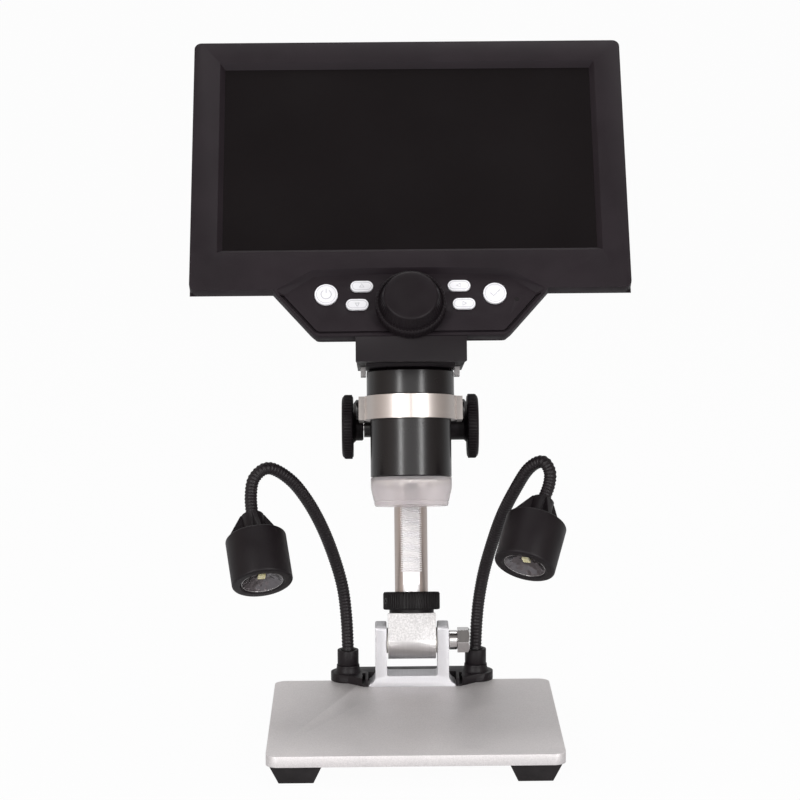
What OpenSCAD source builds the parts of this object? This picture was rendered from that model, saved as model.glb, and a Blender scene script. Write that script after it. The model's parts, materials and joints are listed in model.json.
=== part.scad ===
// Digital microscope with a screen: a flat stage, a tilting column with a rack,
// a carriage that two focus knobs drive along it, a barrel with a zoom lens, a
// screen head with buttons and a zoom wheel, and two lamps on bendy arms.
// Millimetres. The origin is the centre of the stage on the plane that the feet
// rest on. +X is to the user's right, +Y away from the user, +Z up.

/* [Stage] */
// Width of the stage plate
plate_w = 120; // [112:1:150]
// Depth of the stage plate, front to back
plate_d = 118; // [112:1:140]
// Thickness of the stage plate
plate_t = 4.5; // [4:0.5:8]
// Corner radius of the stage plate
plate_corner_r = 5; // [2:0.5:10]
// Height of a foot
foot_h = 8; // [6:0.5:14]
// Side of a foot at the plate
foot_top = 21; // [16:1:24]
// Side of a foot at the table
foot_bottom = 14; // [10:1:15]
// From the plate's edge to the middle of a foot
foot_inset = 12; // [11:0.5:16]
// Shank diameter of the foot screws
foot_screw_d = 3; // [2.5:0.5:4]

/* [Column bracket] */
// Width of the bracket over its two cheeks
bracket_w = 32; // [30:1:40]
// Thickness of a cheek
cheek_t = 5; // [3.5:0.5:6]
// Depth of the bracket, front to back
bracket_d = 12; // [11:0.5:16]
// Height of the bracket above the stage
bracket_h = 27; // [26:0.5:32]
// Thickness of the bracket's web on the stage
web_t = 4.8; // [4:0.2:8]
// How far the cheeks flare out at the stage
flare = 2.8; // [1:0.2:4]
// Height of the tilt axis above the stage
pivot_h = 19.3; // [17:0.1:20]
// Diameter of the tilt bolt
bolt_d = 6; // [5:0.5:7]
// Width across the flats of the tilt bolt's head
bolt_af = 10; // [9:0.5:12]
// Height of the tilt bolt's head
bolt_head_h = 5.3; // [3:0.1:7]
// Length of the spacer under the bolt head
spacer_l = 3.8; // [2:0.2:6]
// Diameter of the spacer
spacer_d = 8.5; // [8:0.5:10]
// Thickness of the two friction washers
washer_t = 0.55; // [0.4:0.05:1]

/* [Column] */
// How far the column leans back from upright, in degrees
column_lean = 13; // [0:1:20]
// Diameter of the column
column_d = 14.4; // [13:0.1:16]
// Height of the column's top above the tilt axis, along the column
column_top = 175; // [160:1:200]
// Thickness of the pivot block, front to back
block_d = 16; // [14:0.5:18]
// Height of the pivot block above the tilt axis
block_h = 11.8; // [11:0.1:14]
// Diameter of the spigot that holds the column in the block
spigot_d = 10; // [8:0.5:11]
// Diameter of the knurled lock collar
collar_d = 24.8; // [22:0.2:27]
// Height of the knurled part of the lock collar
collar_h = 7.8; // [6:0.2:10]
// Diameter of the collar's plain step
collar_step_d = 19.4; // [18:0.2:21]
// Height of the collar's plain step
collar_step_h = 1.4; // [1:0.1:3]

/* [Rack and pinion] */
// Gear module of the rack and the pinion
gear_module = 0.3; // [0.25:0.05:0.35]
// Number of teeth on the pinion
pinion_teeth = 30; // [28:1:32]
// Width of the pinion's teeth
pinion_w = 7; // [5:0.5:8]
// Depth of the flat milled on the column's front
rack_flat = 0.96; // [0.8:0.02:1.2]
// Distance from the tilt axis to the lowest rack tooth
rack_start = 29.3; // [26:0.1:34]
// Diameter of the pinion shaft
shaft_d = 3.6; // [3:0.1:4]

/* [Carriage] */
// Height of the carriage's lower face above the tilt axis
carriage_low = 78; // [74:1:84]
// Height of the carriage along the column
carriage_h = 26; // [24:0.5:32]
// Width of the carriage's body
carriage_w = 32; // [28:1:33]
// Width of the carriage over its two horns
horn_w = 39.8; // [39.4:0.2:42]
// From the column's axis to the carriage's front
carriage_front = 17; // [16.5:0.1:17.4]
// From the column's axis to the carriage's back
carriage_back = 11; // [10:0.5:14]
// How far the horns reach in front of the column's axis
horn_reach = 26; // [25:0.5:28]
// Height of the barrel clamp
clamp_h = 10; // [9:0.5:11]
// Wall of the clamp's ring
clamp_wall = 2.5; // [2:0.1:3]
// Thickness of the clamp's two arms
clamp_arm_t = 2.2; // [1.8:0.1:2.3]

/* [Focus knobs] */
// Diameter of a focus knob
knob_d = 27.8; // [22:0.2:28]
// Thickness of a focus knob's disc
knob_t = 5; // [4:0.1:7]
// Diameter of a focus knob's hub
knob_hub_d = 12; // [10:0.5:13]
// Distance from the middle plane to a knob's disc
knob_offset = 24.6; // [24.6:0.1:26]

/* [Barrel] */
// From the column's axis to the barrel's axis
barrel_offset = 36; // [36:0.5:40]
// Diameter of the barrel below its shoulder
barrel_d = 34.4; // [33:0.2:35]
// Diameter of the barrel's head above the clamp
barrel_head_d = 37.2; // [36:0.2:40]
// Height of the barrel's head above the clamp
barrel_head_h = 11.4; // [8:0.2:14]
// Length of the barrel below the clamp
barrel_tail = 24.5; // [22:0.5:30]
// Bore of the barrel
barrel_bore = 26; // [25:0.5:27]
// Length of the frosted shroud
shroud_h = 12.1; // [11.5:0.1:15]
// Diameter of the shroud's mouth
shroud_mouth_d = 31; // [29:0.5:33]
// Wall of the shroud
shroud_wall = 1.4; // [1:0.1:2]
// Number of lamps on the ring board
led_count = 8; // [4:1:12]
// Diameter of the objective's front glass
lens_d = 9; // [7:0.5:10]
// Length of the lens's nose below its carrier
lens_nose_l = 9.3; // [6:0.1:9.5]

/* [Screen head] */
// Width of the screen head
head_w = 182.6; // [178:0.2:200]
// From the picture window's centre to the head's top
head_top = 56.3; // [54:0.1:66]
// From the picture window's centre to the head's lower edge
head_bottom = 63.7; // [63:0.1:68]
// Corner radius of the screen head
head_corner_r = 3; // [2:0.5:6]
// Width of the picture window
window_w = 156; // [140:1:157]
// Height of the picture window
window_h = 88; // [78:1:88]
// Width of the slope round the picture window
window_bevel = 2.1; // [1:0.1:3]
// Depth of the straight side wall
side_d = 5.5; // [5:0.1:8]
// Depth of the screen head
head_d = 25; // [24:0.5:32]
// How far the back is drawn in all round
back_inset = 12; // [8:0.5:14]
// Wall of the housing
shell_t = 2; // [1.6:0.1:2.4]
// How far the screen leans back from square to the column, in degrees
screen_tilt = 21.6; // [19:0.2:24]
// Height of the picture window's centre above the barrel's top, along the column
screen_rise = 89.5; // [89:0.1:93]
// From the column's axis forward to the window's centre
screen_forward = 54.5; // [54:0.1:56]
// Width of the neck
neck_w = 45.6; // [42:0.2:52]

/* [Control panel] */
// Width of the control tongue where it leaves the head
tongue_w = 113.6; // [110:0.2:118]
// Width of the control tongue's lower end
tongue_end_w = 79.2; // [76:0.2:84]
// How far the control tongue reaches below the head
tongue_reach = 20.8; // [20.6:0.1:23]
// Radius of the control tongue's lower corners
tongue_corner_r = 5; // [2:0.5:8]
// Depth of the control panel's recess
panel_recess = 2.6; // [2.2:0.1:3]
// Diameter of the round buttons
round_button_d = 9.6; // [8:0.1:10]
// Length of the oval buttons
oval_button_l = 9.4; // [8:0.1:10]
// Width of the oval buttons
oval_button_w = 5; // [4:0.1:5.6]
// How far the buttons stand out of the panel
button_rise = 0.7; // [0.7:0.1:1.5]
// How far a button travels
button_travel = 0.6; // [0.3:0.1:0.7]
// Diameter of the zoom wheel's skirt
wheel_d = 29.2; // [26:0.2:30]
// Diameter of the zoom wheel's cap
wheel_cap_d = 22.4; // [18:0.2:24]
// How far the zoom wheel stands out of the panel's front plane
wheel_rise = 9.8; // [6:0.1:10]
// Distance from the zoom wheel's axis to the tongue's lower end
wheel_inset = 12.8; // [12.6:0.1:14]

/* [Lamps] */
// Diameter of a lamp head
lamp_d = 25.5; // [22:0.5:26]
// Length of a lamp head's barrel
lamp_l = 21.5; // [18:0.5:24]
// Length of a lamp head's finned neck
lamp_neck_l = 9; // [8:0.5:12]
// Diameter of a lamp's reflector
reflector_d = 17.8; // [14:0.2:20]
// Outer diameter of a bendy arm
arm_d = 5.2; // [4.6:0.1:5.4]
// Thickness of the lamps' base
lamp_base_t = 3.6; // [3:0.1:5]
// Diameter of an arm's socket
socket_d = 9.3; // [8.5:0.1:10]
// Height of an arm's socket
socket_h = 6.8; // [6:0.1:8]

/* [Hidden] */
head_colour = [0.2, 0.18, 0.19];

// Smoothness of round surfaces
$fn = 64;
// Overlap that keeps a cut clean
eps = 0.01;
// Radial clearance of a shaft or a tube that runs in a bore
run = 0.05;
// Gap between pieces that move past each other
gap = 0.3;
// Pressure angle of the rack
flank = 20;

// --- Places on the stage ---
plate_top = foot_h + plate_t;
foot_x = plate_w / 2 - foot_inset;
foot_y = plate_d / 2 - foot_inset;
bracket_back = plate_d / 2;
pivot_y = bracket_back - bracket_d / 2;
pivot_z = plate_top + pivot_h;
edge_r = 1;
cheek_round = 2;
cheek_in = bracket_w / 2 - cheek_t;
bracket_screw_d = 4;
bracket_screw_x = 6.5;

// --- Places on the column: heights above the tilt axis, along the column ---
washer_play = 0.05;
block_w = 2 * (cheek_in - washer_t - washer_play);
spigot_low = bolt_d / 2 + 2;
collar_low = block_h + 0.1;
collar_top = collar_low + collar_step_h + collar_h;
flat_low = collar_top + 3;
tooth_pitch = PI * gear_module;
pitch_r = gear_module * pinion_teeth / 2;
flat_v = column_d / 2 - rack_flat;
pinion_v = -(flat_v - gear_module + pitch_r);
carriage_top = carriage_low + carriage_h;
clamp_low = carriage_top - clamp_h;
pinion_low = carriage_low + 14.8;
rack_first = ceil((rack_start - pinion_low) / tooth_pitch);
rack_last = floor((column_top - 3 - pinion_low) / tooth_pitch);
bore_r = column_d / 2 + run;
ring_in = barrel_d / 2 + 0.1;
ring_out = ring_in + clamp_wall;
arm_back = horn_reach - 9;
clamp_screw_v = -(horn_reach - 4.5);
clamp_screw_w = clamp_low + 5.5;
clamp_screw_d = 4;
clamp_head_d = 8.6;
clamp_head_h = 2.3;
bush_d = 9.2;

// --- Places on the barrel: heights above the tilt axis, along the column ---
barrel_top = carriage_top + barrel_head_h;
barrel_low = clamp_low - barrel_tail;
shroud_low = barrel_low - shroud_h;
shroud_spigot = 3;
shroud_spigot_d = barrel_bore + 2.4;
shroud_bend = shroud_low + 8;
led_seat = barrel_low - 1.5;
led_board_t = 1.2;
led_d = 3;
led_h = 1.8;
led_ring_r = 10.2;
sensor_seat = barrel_top - 8;
sensor_board_d = barrel_bore + 1;
carrier_low = barrel_low + 4.5;
carrier_h = 26;
carrier_r = barrel_bore / 2 - run;
carrier_bore = lens_d + 2;
lens_nose_bore = lens_d - 2.4;

// --- The screen head: a across, b up the screen, d behind its front plane ---
tongue_low = -head_bottom - tongue_reach;
screen_w = barrel_top + screen_rise;
wheel_b = tongue_low + wheel_inset;
floor_d = panel_recess;
floor_t = side_d - floor_d;
front_t = 2.4;
lcd_t = side_d - front_t;
lcd_lip = 1.9;
battery_t = 6;
battery_w = 84;
battery_h = 44;
battery_b = -16;
board_posts_h = 10.2;
board_low = head_d - shell_t - board_posts_h;
main_board_w = 110;
main_board_h = 60;
main_board_b = 4;
chip = 14;
chip_t = 1.6;
button_board_w = 82;
button_board_h = 20;
panel_top_w = 80;
panel_arch = 1;
panel_top_b = -head_bottom + 7.2;
panel_mid_w = 104;
panel_mid_b = -head_bottom - 1.1;
rim_slope = 1.7;
rim_w = 1.1;
rim_d = panel_recess - 1;
groove_w = 1.5;
groove_d = panel_recess + 1;
tongue_back_d = side_d + 1.5;
tongue_back_b = tongue_low + 11.7;
tongue_taper = 0.75;
neck_top_b = -40;
neck_back = 16;
neck_back_w = barrel_top + 18.6;
neck_front = screen_forward + 4;
neck_taper = 0.4;
nose_gap = 0.2;
nose_drop = 1.5;
neck_pad_t = 1.3;
neck_low = barrel_top + neck_pad_t;
neck_lug = [2.2, 8, 2.6];
neck_lug_x = barrel_head_d / 2 + gap;
wheel_shaft_d = 4;
wheel_floor_gap = 1.4;
crank_e = 4;
crank_pin_d = 2;
crank_d = 12;
crank_t = 2;
crank_stand = 7;
slot_v = -(barrel_offset + 8);
tab_t = 2;
button_gap = 0.2;
flange_t = 0.8;
flange_w = 0.7;
button_low = floor_d + floor_t + flange_t + 1.2;
round_button_x = 34.8;
round_button_b = -head_bottom - 1.3;
oval_up = [20.1, -head_bottom + 2.4];
oval_down = [22, -head_bottom - 6];
light_d = 2;
light_at = [43.8, -head_bottom - 3.9];
switch_h = 1.4;
board_front = button_low + button_travel + 0.1 + switch_h;
board_t = 1.6;

// --- The lamps ---
socket_x = 28;
socket_y = bracket_back + 2;
lamp_bell_h = 3.1;
lamp_bell_r = 7.6;
rib_t = 1.2;
socket_low = plate_top + lamp_base_t + lamp_bell_h;
socket_top = socket_low + socket_h;
ferrule_r = arm_d / 2 + 0.35;
// Bends of each arm, from the middle of its socket's top
left_bends = [[0, 0, 0.6], [-0.5, 0, 14], [-2, -1.5, 28], [-5.5, -6, 42.5], [-10.5, -14.5, 58],
              [-16.5, -23.5, 71.5], [-23.5, -31, 82], [-32, -37, 88], [-38, -40, 84.5], [-39.5, -43.5, 77.5],
              [-38.7, -49.7, 69.1]];
right_bends = [[0, 0, 0.6], [0.5, 0, 11], [1.5, -1, 22], [3.5, -5.5, 35], [6.5, -13, 48.5],
               [10.5, -23.5, 63.5], [15.5, -33.5, 76.5], [21, -42, 87.5], [26.5, -46.5, 91.5],
               [29.5, -49.5, 88], [29, -52.5, 82.5], [25.9, -57.7, 76.1]];
left_route = [for (p = left_bends) [-socket_x, socket_y, socket_top] + p];
right_route = [for (p = right_bends) [socket_x, socket_y, socket_top] + p];
// Turn about the upright and lean from it of each lamp's axis, in degrees
left_aim = [14, 38.6];
right_aim = [-25, 40.8];
lamp_swing = 20;
lamp_shoulder_r = 2;
fin_t = 1.7;
lamp_neck_r = arm_d / 2 + 2.2;
reflector_depth = 3.2;

// ---------------------------------------------------------------- shared shapes

// Points of an arc from angle a0 to a1 about a centre
function arc(centre, r, a0, a1, n = 6) =
    [for (i = [0 : n]) centre + r * [cos(a0 + (a1 - a0) * i / n), sin(a0 + (a1 - a0) * i / n)]];

// The same points on the other side, in the opposite order
function both_sides(points) = [for (i = [len(points) - 1 : -1 : 0]) [-points[i][0], points[i][1]]];

// Moves to the tilted column: x across, y back from its axis, z along it
module on_column() {
    translate([0, pivot_y, pivot_z]) rotate([-column_lean, 0, 0]) children();
}

// Moves to a height on the barrel's axis
module on_barrel(height = 0) {
    on_column() translate([0, -barrel_offset, height]) children();
}

// Moves to the screen: x across, y up the screen, z out of it towards the user
module on_screen() {
    on_column() translate([0, -screen_forward, screen_w]) rotate([90 - screen_tilt, 0, 0]) children();
}

// Lays an extrusion of height l along X, centred
module along_x(l) {
    rotate([90, 0, 90]) linear_extrude(l, center = true) children();
}

module tube(r_out, r_in, h) {
    difference() {
        cylinder(r = r_out, h = h);
        translate([0, 0, -eps]) cylinder(r = r_in, h = h + 2 * eps);
    }
}

// Rectangle with round corners, made of true arcs
module round_rect(w, d, r) {
    square([w - 2 * r, d], center = true);
    square([w, d - 2 * r], center = true);
    for (x = [-1, 1], y = [-1, 1]) translate([x * (w / 2 - r), y * (d / 2 - r)]) circle(r = r);
}

// Oval with straight sides
module oval(l, w) {
    square([l - w, w], center = true);
    for (x = [-1, 1]) translate([x * (l - w) / 2, 0]) circle(d = w);
}

// Outline of a grip with n rounded ribs
module ribbed_circle(r, n, depth) {
    polygon([for (i = [0 : 4 * n - 1]) let (a = 360 * i / (4 * n), k = [0, 0.8, 1, 0.8][i % 4])
             (r - depth * k) * [cos(a), sin(a)]]);
}

// Countersunk screw pointing up, its head's face at z = 0
module flat_screw(d, l) {
    cylinder(d1 = 1.9 * d, d2 = d, h = 0.45 * d);
    cylinder(d = d, h = l);
}

// Button-head screw pointing down, the underside of its head at z = 0
module button_screw(d, l, head_d, head_h) {
    translate([0, 0, -l]) cylinder(d = d, h = l + eps);
    difference() {
        union() {
            cylinder(d = head_d, h = 0.5 * head_h);
            translate([0, 0, 0.5 * head_h - eps])
                cylinder(d1 = head_d, d2 = 0.62 * head_d, h = 0.5 * head_h + eps);
        }
        translate([0, 0, 0.4 * head_h]) cylinder(d = 0.4 * head_d, h = head_h, $fn = 6);
    }
}

// ---------------------------------------------------------------- stage

module foot_places() {
    for (x = [-1, 1], y = [-1, 1]) translate([x * foot_x, y * foot_y, 0]) children();
}

foot_web_t = 3;
foot_screw_l = foot_web_t + plate_t - 1.3;
foot_bore_h = foot_h - foot_web_t;

module foot_screw_form() {
    translate([0, 0, foot_bore_h]) mirror([0, 0, 1])
        button_screw(foot_screw_d, foot_screw_l, 2 * foot_screw_d, 0.8 * foot_screw_d);
}

bracket_screw_l = plate_t + 4;
lamp_screw_l = plate_t + 3;
lamp_screw_x = bracket_w / 2 + 7;
lamp_screw_y = plate_d / 2 - 4;

module bracket_screw_places() {
    for (x = [-1, 1]) translate([x * bracket_screw_x, pivot_y, foot_h]) children();
}

module lamp_screw_places() {
    for (x = [-1, 1]) translate([x * lamp_screw_x, lamp_screw_y, foot_h]) children();
}

module base_plate() {
    color("silver") difference() {
        translate([0, 0, foot_h]) linear_extrude(plate_t) round_rect(plate_w, plate_d, plate_corner_r);
        foot_places() translate([0, 0, foot_h - eps]) cylinder(d = foot_screw_d, h = plate_t - 1);
        bracket_screw_places() flat_screw(bracket_screw_d, bracket_screw_l);
        lamp_screw_places() flat_screw(foot_screw_d, lamp_screw_l);
    }
}

module foot(x, y) {
    color([0.12, 0.11, 0.12]) translate([x * foot_x, y * foot_y, 0]) difference() {
        mirror([0, 0, 1]) translate([0, 0, -foot_h])
            linear_extrude(foot_h, scale = foot_bottom / foot_top) square(foot_top, center = true);
        translate([0, 0, -eps]) cylinder(d = 2 * foot_screw_d + 0.6, h = foot_bore_h + eps);
        cylinder(d = foot_screw_d, h = foot_h + eps);
    }
}

module foot_screws() {
    color("silver") foot_places() foot_screw_form();
}

// Right half of the bracket's section, from its foot round the cheek to the web
function bracket_half() = concat(
    [[bracket_w / 2 + flare, 0], [bracket_w / 2 + flare, 0.7],
     [bracket_w / 2 + flare / 3, 2.2], [bracket_w / 2, 3.9]],
    arc([bracket_w / 2 - edge_r, bracket_h - edge_r], edge_r, 0, 90, 4),
    arc([cheek_in + edge_r, bracket_h - edge_r], edge_r, 90, 180, 4),
    arc([cheek_in - edge_r, web_t + edge_r], edge_r, 0, -90, 4));

// Right half of the bracket's side view
function bracket_side() = concat(
    [[bracket_d / 2, 0]], arc([bracket_d / 2 - cheek_round, bracket_h - cheek_round], cheek_round, 0, 90, 5));

module bracket() {
    color("gainsboro") difference() {
        translate([0, pivot_y, plate_top]) intersection() {
            rotate([90, 0, 0]) linear_extrude(bracket_d, center = true)
                polygon(concat(bracket_half(), both_sides(bracket_half())));
            along_x(3 * bracket_w) polygon(concat(bracket_side(), both_sides(bracket_side())));
        }
        translate([0, pivot_y, pivot_z]) rotate([0, 90, 0]) cylinder(d = bolt_d + 0.4, h = bracket_w);
        translate([-bracket_w, pivot_y, pivot_z]) rotate([0, 90, 0]) cylinder(d = bolt_d, h = bracket_w);
        bracket_screw_places() cylinder(d = bracket_screw_d, h = bracket_screw_l);
    }
}

module bracket_screws() {
    color("gray") bracket_screw_places() flat_screw(bracket_screw_d, bracket_screw_l);
}

module pivot_bolt() {
    head_x = bracket_w / 2 + spacer_l;
    color("gray") translate([0, pivot_y, pivot_z]) rotate([0, 90, 0]) {
        translate([0, 0, -bracket_w / 2]) cylinder(d = bolt_d, h = head_x + bracket_w / 2 + 1);
        translate([0, 0, head_x]) rotate(30) cylinder(d = bolt_af / cos(30), h = bolt_head_h, $fn = 6);
    }
}

module bolt_spacer() {
    color("gray") translate([bracket_w / 2, pivot_y, pivot_z]) rotate([0, 90, 0])
        tube(spacer_d / 2, bolt_d / 2, spacer_l);
}

module friction_washers() {
    color("ivory") for (x = [-cheek_in, cheek_in - washer_t])
        translate([x, pivot_y, pivot_z]) rotate([0, 90, 0]) tube(5.5, bolt_d / 2, washer_t);
}

// ---------------------------------------------------------------- lamp base

lamp_base_gap = 0.4;
lamp_base_in = bracket_w / 2 + flare + lamp_base_gap;
lamp_base_back = socket_y + 8;

module lamp_base_outline() {
    front = pivot_y - bracket_d / 2 + 0.5;
    half = concat(
        [[lamp_base_in, bracket_back + lamp_base_gap], [lamp_base_in, front],
         [lamp_base_in + 2, front], [socket_x, socket_y - lamp_bell_r]],
        arc([socket_x, socket_y], lamp_bell_r, -60, 90, 10));
    polygon(concat(half, both_sides(half)));
}

// Section of the bell under a socket, from its lip up
function lamp_bell() = let (top_r = socket_d / 2 + 0.3, top = lamp_base_t + lamp_bell_h, lip = 1.3)
    concat([[0, 0], [lamp_bell_r, 0], [lamp_bell_r, lip], [lamp_bell_r - 0.6, lip + 0.3]],
           [for (i = [0 : 5]) let (a = 90 * i / 5)
            [top_r + (lamp_bell_r - 0.6 - top_r) * (1 - sin(a)), top - (top - lip - 1.4) * cos(a)]],
           [[0, top]]);

module lamp_base() {
    color("black") difference() {
        union() {
            translate([0, 0, plate_top]) linear_extrude(lamp_base_t) lamp_base_outline();
            translate([-socket_x, plate_d / 2, foot_h]) cube([2 * socket_x, 3, plate_t + eps]);
            for (x = [-1, 1]) translate([x * socket_x, socket_y, plate_top])
                rotate_extrude() polygon(lamp_bell());
        }
        for (x = [-1, 1]) translate([x * socket_x, socket_y, plate_top + 1])
            cylinder(r = ferrule_r + 0.6, h = lamp_base_t + lamp_bell_h);
        // gap between each upright rib beside the bracket and its bell
        for (x = [-1, 1]) translate([x * (lamp_base_in + rib_t + 0.7), pivot_y - bracket_d, plate_top + 0.8])
            translate([-0.7, 0, 0]) cube([1.4, 1.5 * bracket_d - 1.5, lamp_base_t]);
        lamp_screw_places() cylinder(d = foot_screw_d, h = lamp_screw_l);
    }
}

module lamp_base_screws() {
    color("gray") lamp_screw_places() flat_screw(foot_screw_d, lamp_screw_l);
}

module lamp_sockets() {
    color("dimgray") for (x = [-1, 1]) translate([x * socket_x, socket_y, socket_low])
        tube(socket_d / 2, ferrule_r + run, socket_h);
}

// ---------------------------------------------------------------- column

module pivot_block() {
    color("silver") on_column() difference() {
        along_x(block_w) {
            circle(r = block_d / 2);
            translate([-block_d / 2, 0]) square([block_d, block_h]);
        }
        rotate([0, 90, 0]) cylinder(r = bolt_d / 2 + run, h = 2 * block_w, center = true);
        translate([0, 0, spigot_low]) cylinder(d = spigot_d, h = block_h);
    }
}

// Side view of the rack's teeth, to be cut out of the column's front
module rack_gaps() {
    tip = gear_module;
    root = 1.25 * gear_module;
    for (i = [rack_first : rack_last]) {
        middle = pinion_low + (i + 0.5) * tooth_pitch;
        half_tip = tooth_pitch / 4 + tip * tan(flank);
        half_root = tooth_pitch / 4 - root * tan(flank);
        polygon([[-flat_v - 1, middle - half_tip - tan(flank)], [-flat_v + tip + root, middle - half_root],
                 [-flat_v + tip + root, middle + half_root], [-flat_v - 1, middle + half_tip + tan(flank)]]);
    }
}

module column() {
    color("gainsboro") on_column() difference() {
        union() {
            translate([0, 0, block_h]) cylinder(d = column_d, h = column_top - block_h - 1);
            translate([0, 0, column_top - 1 - eps]) cylinder(d1 = column_d, d2 = column_d - 2, h = 1 + eps);
            translate([0, 0, spigot_low]) cylinder(d = spigot_d, h = block_h - spigot_low + eps);
        }
        translate([-column_d / 2, -column_d, flat_low]) cube([column_d, column_d - flat_v, column_top]);
        along_x(column_d) rack_gaps();
    }
}

module column_collar() {
    color("black") on_column() difference() {
        union() {
            translate([0, 0, collar_low]) cylinder(d = collar_step_d, h = collar_step_h + eps);
            translate([0, 0, collar_low + collar_step_h]) linear_extrude(collar_h)
                ribbed_circle(collar_d / 2, 48, 0.35);
        }
        cylinder(r = bore_r, h = column_top);
        translate([0, 0, collar_low + collar_step_h + collar_h / 2]) rotate([90, 0, -65])
            cylinder(d = 2.6, h = collar_d);
    }
}

// ---------------------------------------------------------------- carriage

module carriage() {
    color("black") on_column() difference() {
        union() {
            translate([-carriage_w / 2, -carriage_front, carriage_low])
                cube([carriage_w, carriage_front + carriage_back, carriage_h]);
            translate([-horn_w / 2, -horn_reach, clamp_low])
                cube([horn_w, horn_reach - arm_back, clamp_h]);
        }
        translate([0, 0, carriage_low - eps]) cylinder(r = bore_r, h = carriage_h + 2 * eps);
        translate([0, -barrel_offset, carriage_low - eps])
            cylinder(r = ring_out + gap, h = carriage_h + 2 * eps);
        translate([0, pinion_v, pinion_low]) rotate([0, 90, 0]) {
            cylinder(r = pitch_r + gear_module + 0.35, h = pinion_w + 1.5, center = true);
            cylinder(r = shaft_d / 2 + run, h = 2 * carriage_w, center = true);
        }
        for (x = [-1, 1]) translate([x * horn_w / 2, clamp_screw_v, clamp_screw_w]) rotate([0, x * 90, 0])
            translate([0, 0, -clamp_screw_d]) cylinder(d = clamp_screw_d, h = 2 * clamp_screw_d);
    }
}

module barrel_clamp() {
    arm_in = horn_w / 2;
    color("silver") on_column() translate([0, 0, clamp_low]) difference() {
        union() {
            translate([0, -barrel_offset, 0]) cylinder(r = ring_out, h = clamp_h);
            for (x = [-arm_in - clamp_arm_t, arm_in]) translate([x, -barrel_offset - 3, 0])
                cube([clamp_arm_t, barrel_offset + 3 - arm_back, clamp_h]);
            translate([-arm_in - eps, -barrel_offset - 3, 0])
                cube([2 * arm_in + 2 * eps, 6, clamp_h]);
        }
        translate([0, -barrel_offset, -eps]) cylinder(r = ring_in, h = clamp_h + 2 * eps);
        translate([0, clamp_screw_v, clamp_screw_w - clamp_low]) rotate([0, 90, 0])
            cylinder(d = clamp_screw_d, h = 3 * arm_in, center = true);
    }
}

module clamp_screws() {
    color("black") on_column() for (x = [-1, 1])
        translate([x * (horn_w / 2 + clamp_arm_t), clamp_screw_v, clamp_screw_w]) rotate([0, x * 90, 0])
            button_screw(clamp_screw_d, clamp_arm_t + clamp_screw_d, clamp_head_d, clamp_head_h);
}

hub_stand = 4.6;
bush_out = knob_offset - hub_stand;
bush_short = 0.8;
shaft_cover = 2;
knob_rib = 0.5;
knob_crown = 1.2;
knob_slope = 1.5;

module pinion_bushes() {
    color("goldenrod") on_column() translate([0, pinion_v, pinion_low]) rotate([0, 90, 0]) {
        translate([0, 0, -bush_out]) tube(bush_d / 2, shaft_d / 2 + run, bush_out - carriage_w / 2);
        translate([0, 0, carriage_w / 2]) tube(bush_d / 2, shaft_d / 2 + run, bush_short);
    }
}

// Involute of the pinion's base circle: angle turned at radius r, in degrees
function involute(r, base) = let (t = sqrt(pow(r / base, 2) - 1)) t * 180 / PI - atan(t);

// Face of the pinion: each tooth has two involute flanks
module pinion_gear() {
    base = pitch_r * cos(flank);
    low = pitch_r - 1.25 * gear_module;
    tip = pitch_r + gear_module;
    play = 1.2;
    half = 90 / pinion_teeth - play + involute(pitch_r, base);
    start = max(base, low + 0.1);
    radii = [for (i = [0 : 3]) start + (tip - start) * i / 3];
    polygon([for (n = [0 : pinion_teeth - 1]) let (mid = 360 * (n + 0.5) / pinion_teeth)
        each concat(
            [low * [cos(mid - half), sin(mid - half)]],
            [for (r = radii) let (a = mid - half + involute(r, base)) r * [cos(a), sin(a)]],
            [for (i = [3 : -1 : 0]) let (r = radii[i], a = mid + half - involute(r, base))
                r * [cos(a), sin(a)]],
            [low * [cos(mid + half), sin(mid + half)]])]);
}

module pinion_shaft() {
    reach = knob_offset + knob_t - shaft_cover;
    color("silver") on_column() translate([0, pinion_v, pinion_low]) {
        along_x(pinion_w) pinion_gear();
        rotate([0, 90, 0]) cylinder(d = shaft_d, h = 2 * reach, center = true);
    }
}

module focus_knob(side, hub_in) {
    rim_t = knob_t - knob_crown;
    crown_r = knob_d / 2 - knob_rib;
    color("black") on_column() translate([0, pinion_v, pinion_low]) rotate([0, side * 90, 0]) difference() {
        union() {
            translate([0, 0, hub_in]) cylinder(d = knob_hub_d, h = knob_offset - hub_in + eps);
            translate([0, 0, knob_offset]) linear_extrude(rim_t) ribbed_circle(knob_d / 2, 40, knob_rib);
            translate([0, 0, knob_offset + rim_t - eps])
                cylinder(r1 = crown_r, r2 = crown_r - knob_slope, h = knob_crown + eps);
        }
        translate([0, 0, -eps]) cylinder(d = shaft_d, h = knob_offset + knob_t - shaft_cover + eps);
    }
}

module focus_knob_left() { focus_knob(-1, bush_out + gap); }

module focus_knob_right() { focus_knob(1, carriage_w / 2 + bush_short + gap); }

// ---------------------------------------------------------------- barrel and optics

module barrel() {
    chamfer = 1.2;
    color("black") on_barrel() difference() {
        union() {
            translate([0, 0, barrel_low]) cylinder(d = barrel_d, h = barrel_top - barrel_low);
            translate([0, 0, carriage_top]) cylinder(d = barrel_head_d, h = barrel_head_h - chamfer);
            translate([0, 0, barrel_top - chamfer - eps])
                cylinder(d1 = barrel_head_d, d2 = barrel_head_d - 2 * chamfer, h = chamfer + eps);
        }
        translate([0, 0, barrel_low - eps]) cylinder(d = barrel_bore, h = barrel_top - barrel_low + 2 * eps);
        translate([0, 0, barrel_low - eps]) cylinder(d = shroud_spigot_d, h = shroud_spigot + eps);
        translate([0, 0, sensor_seat]) cylinder(d = sensor_board_d, h = barrel_top - sensor_seat + eps);
    }
}

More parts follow.
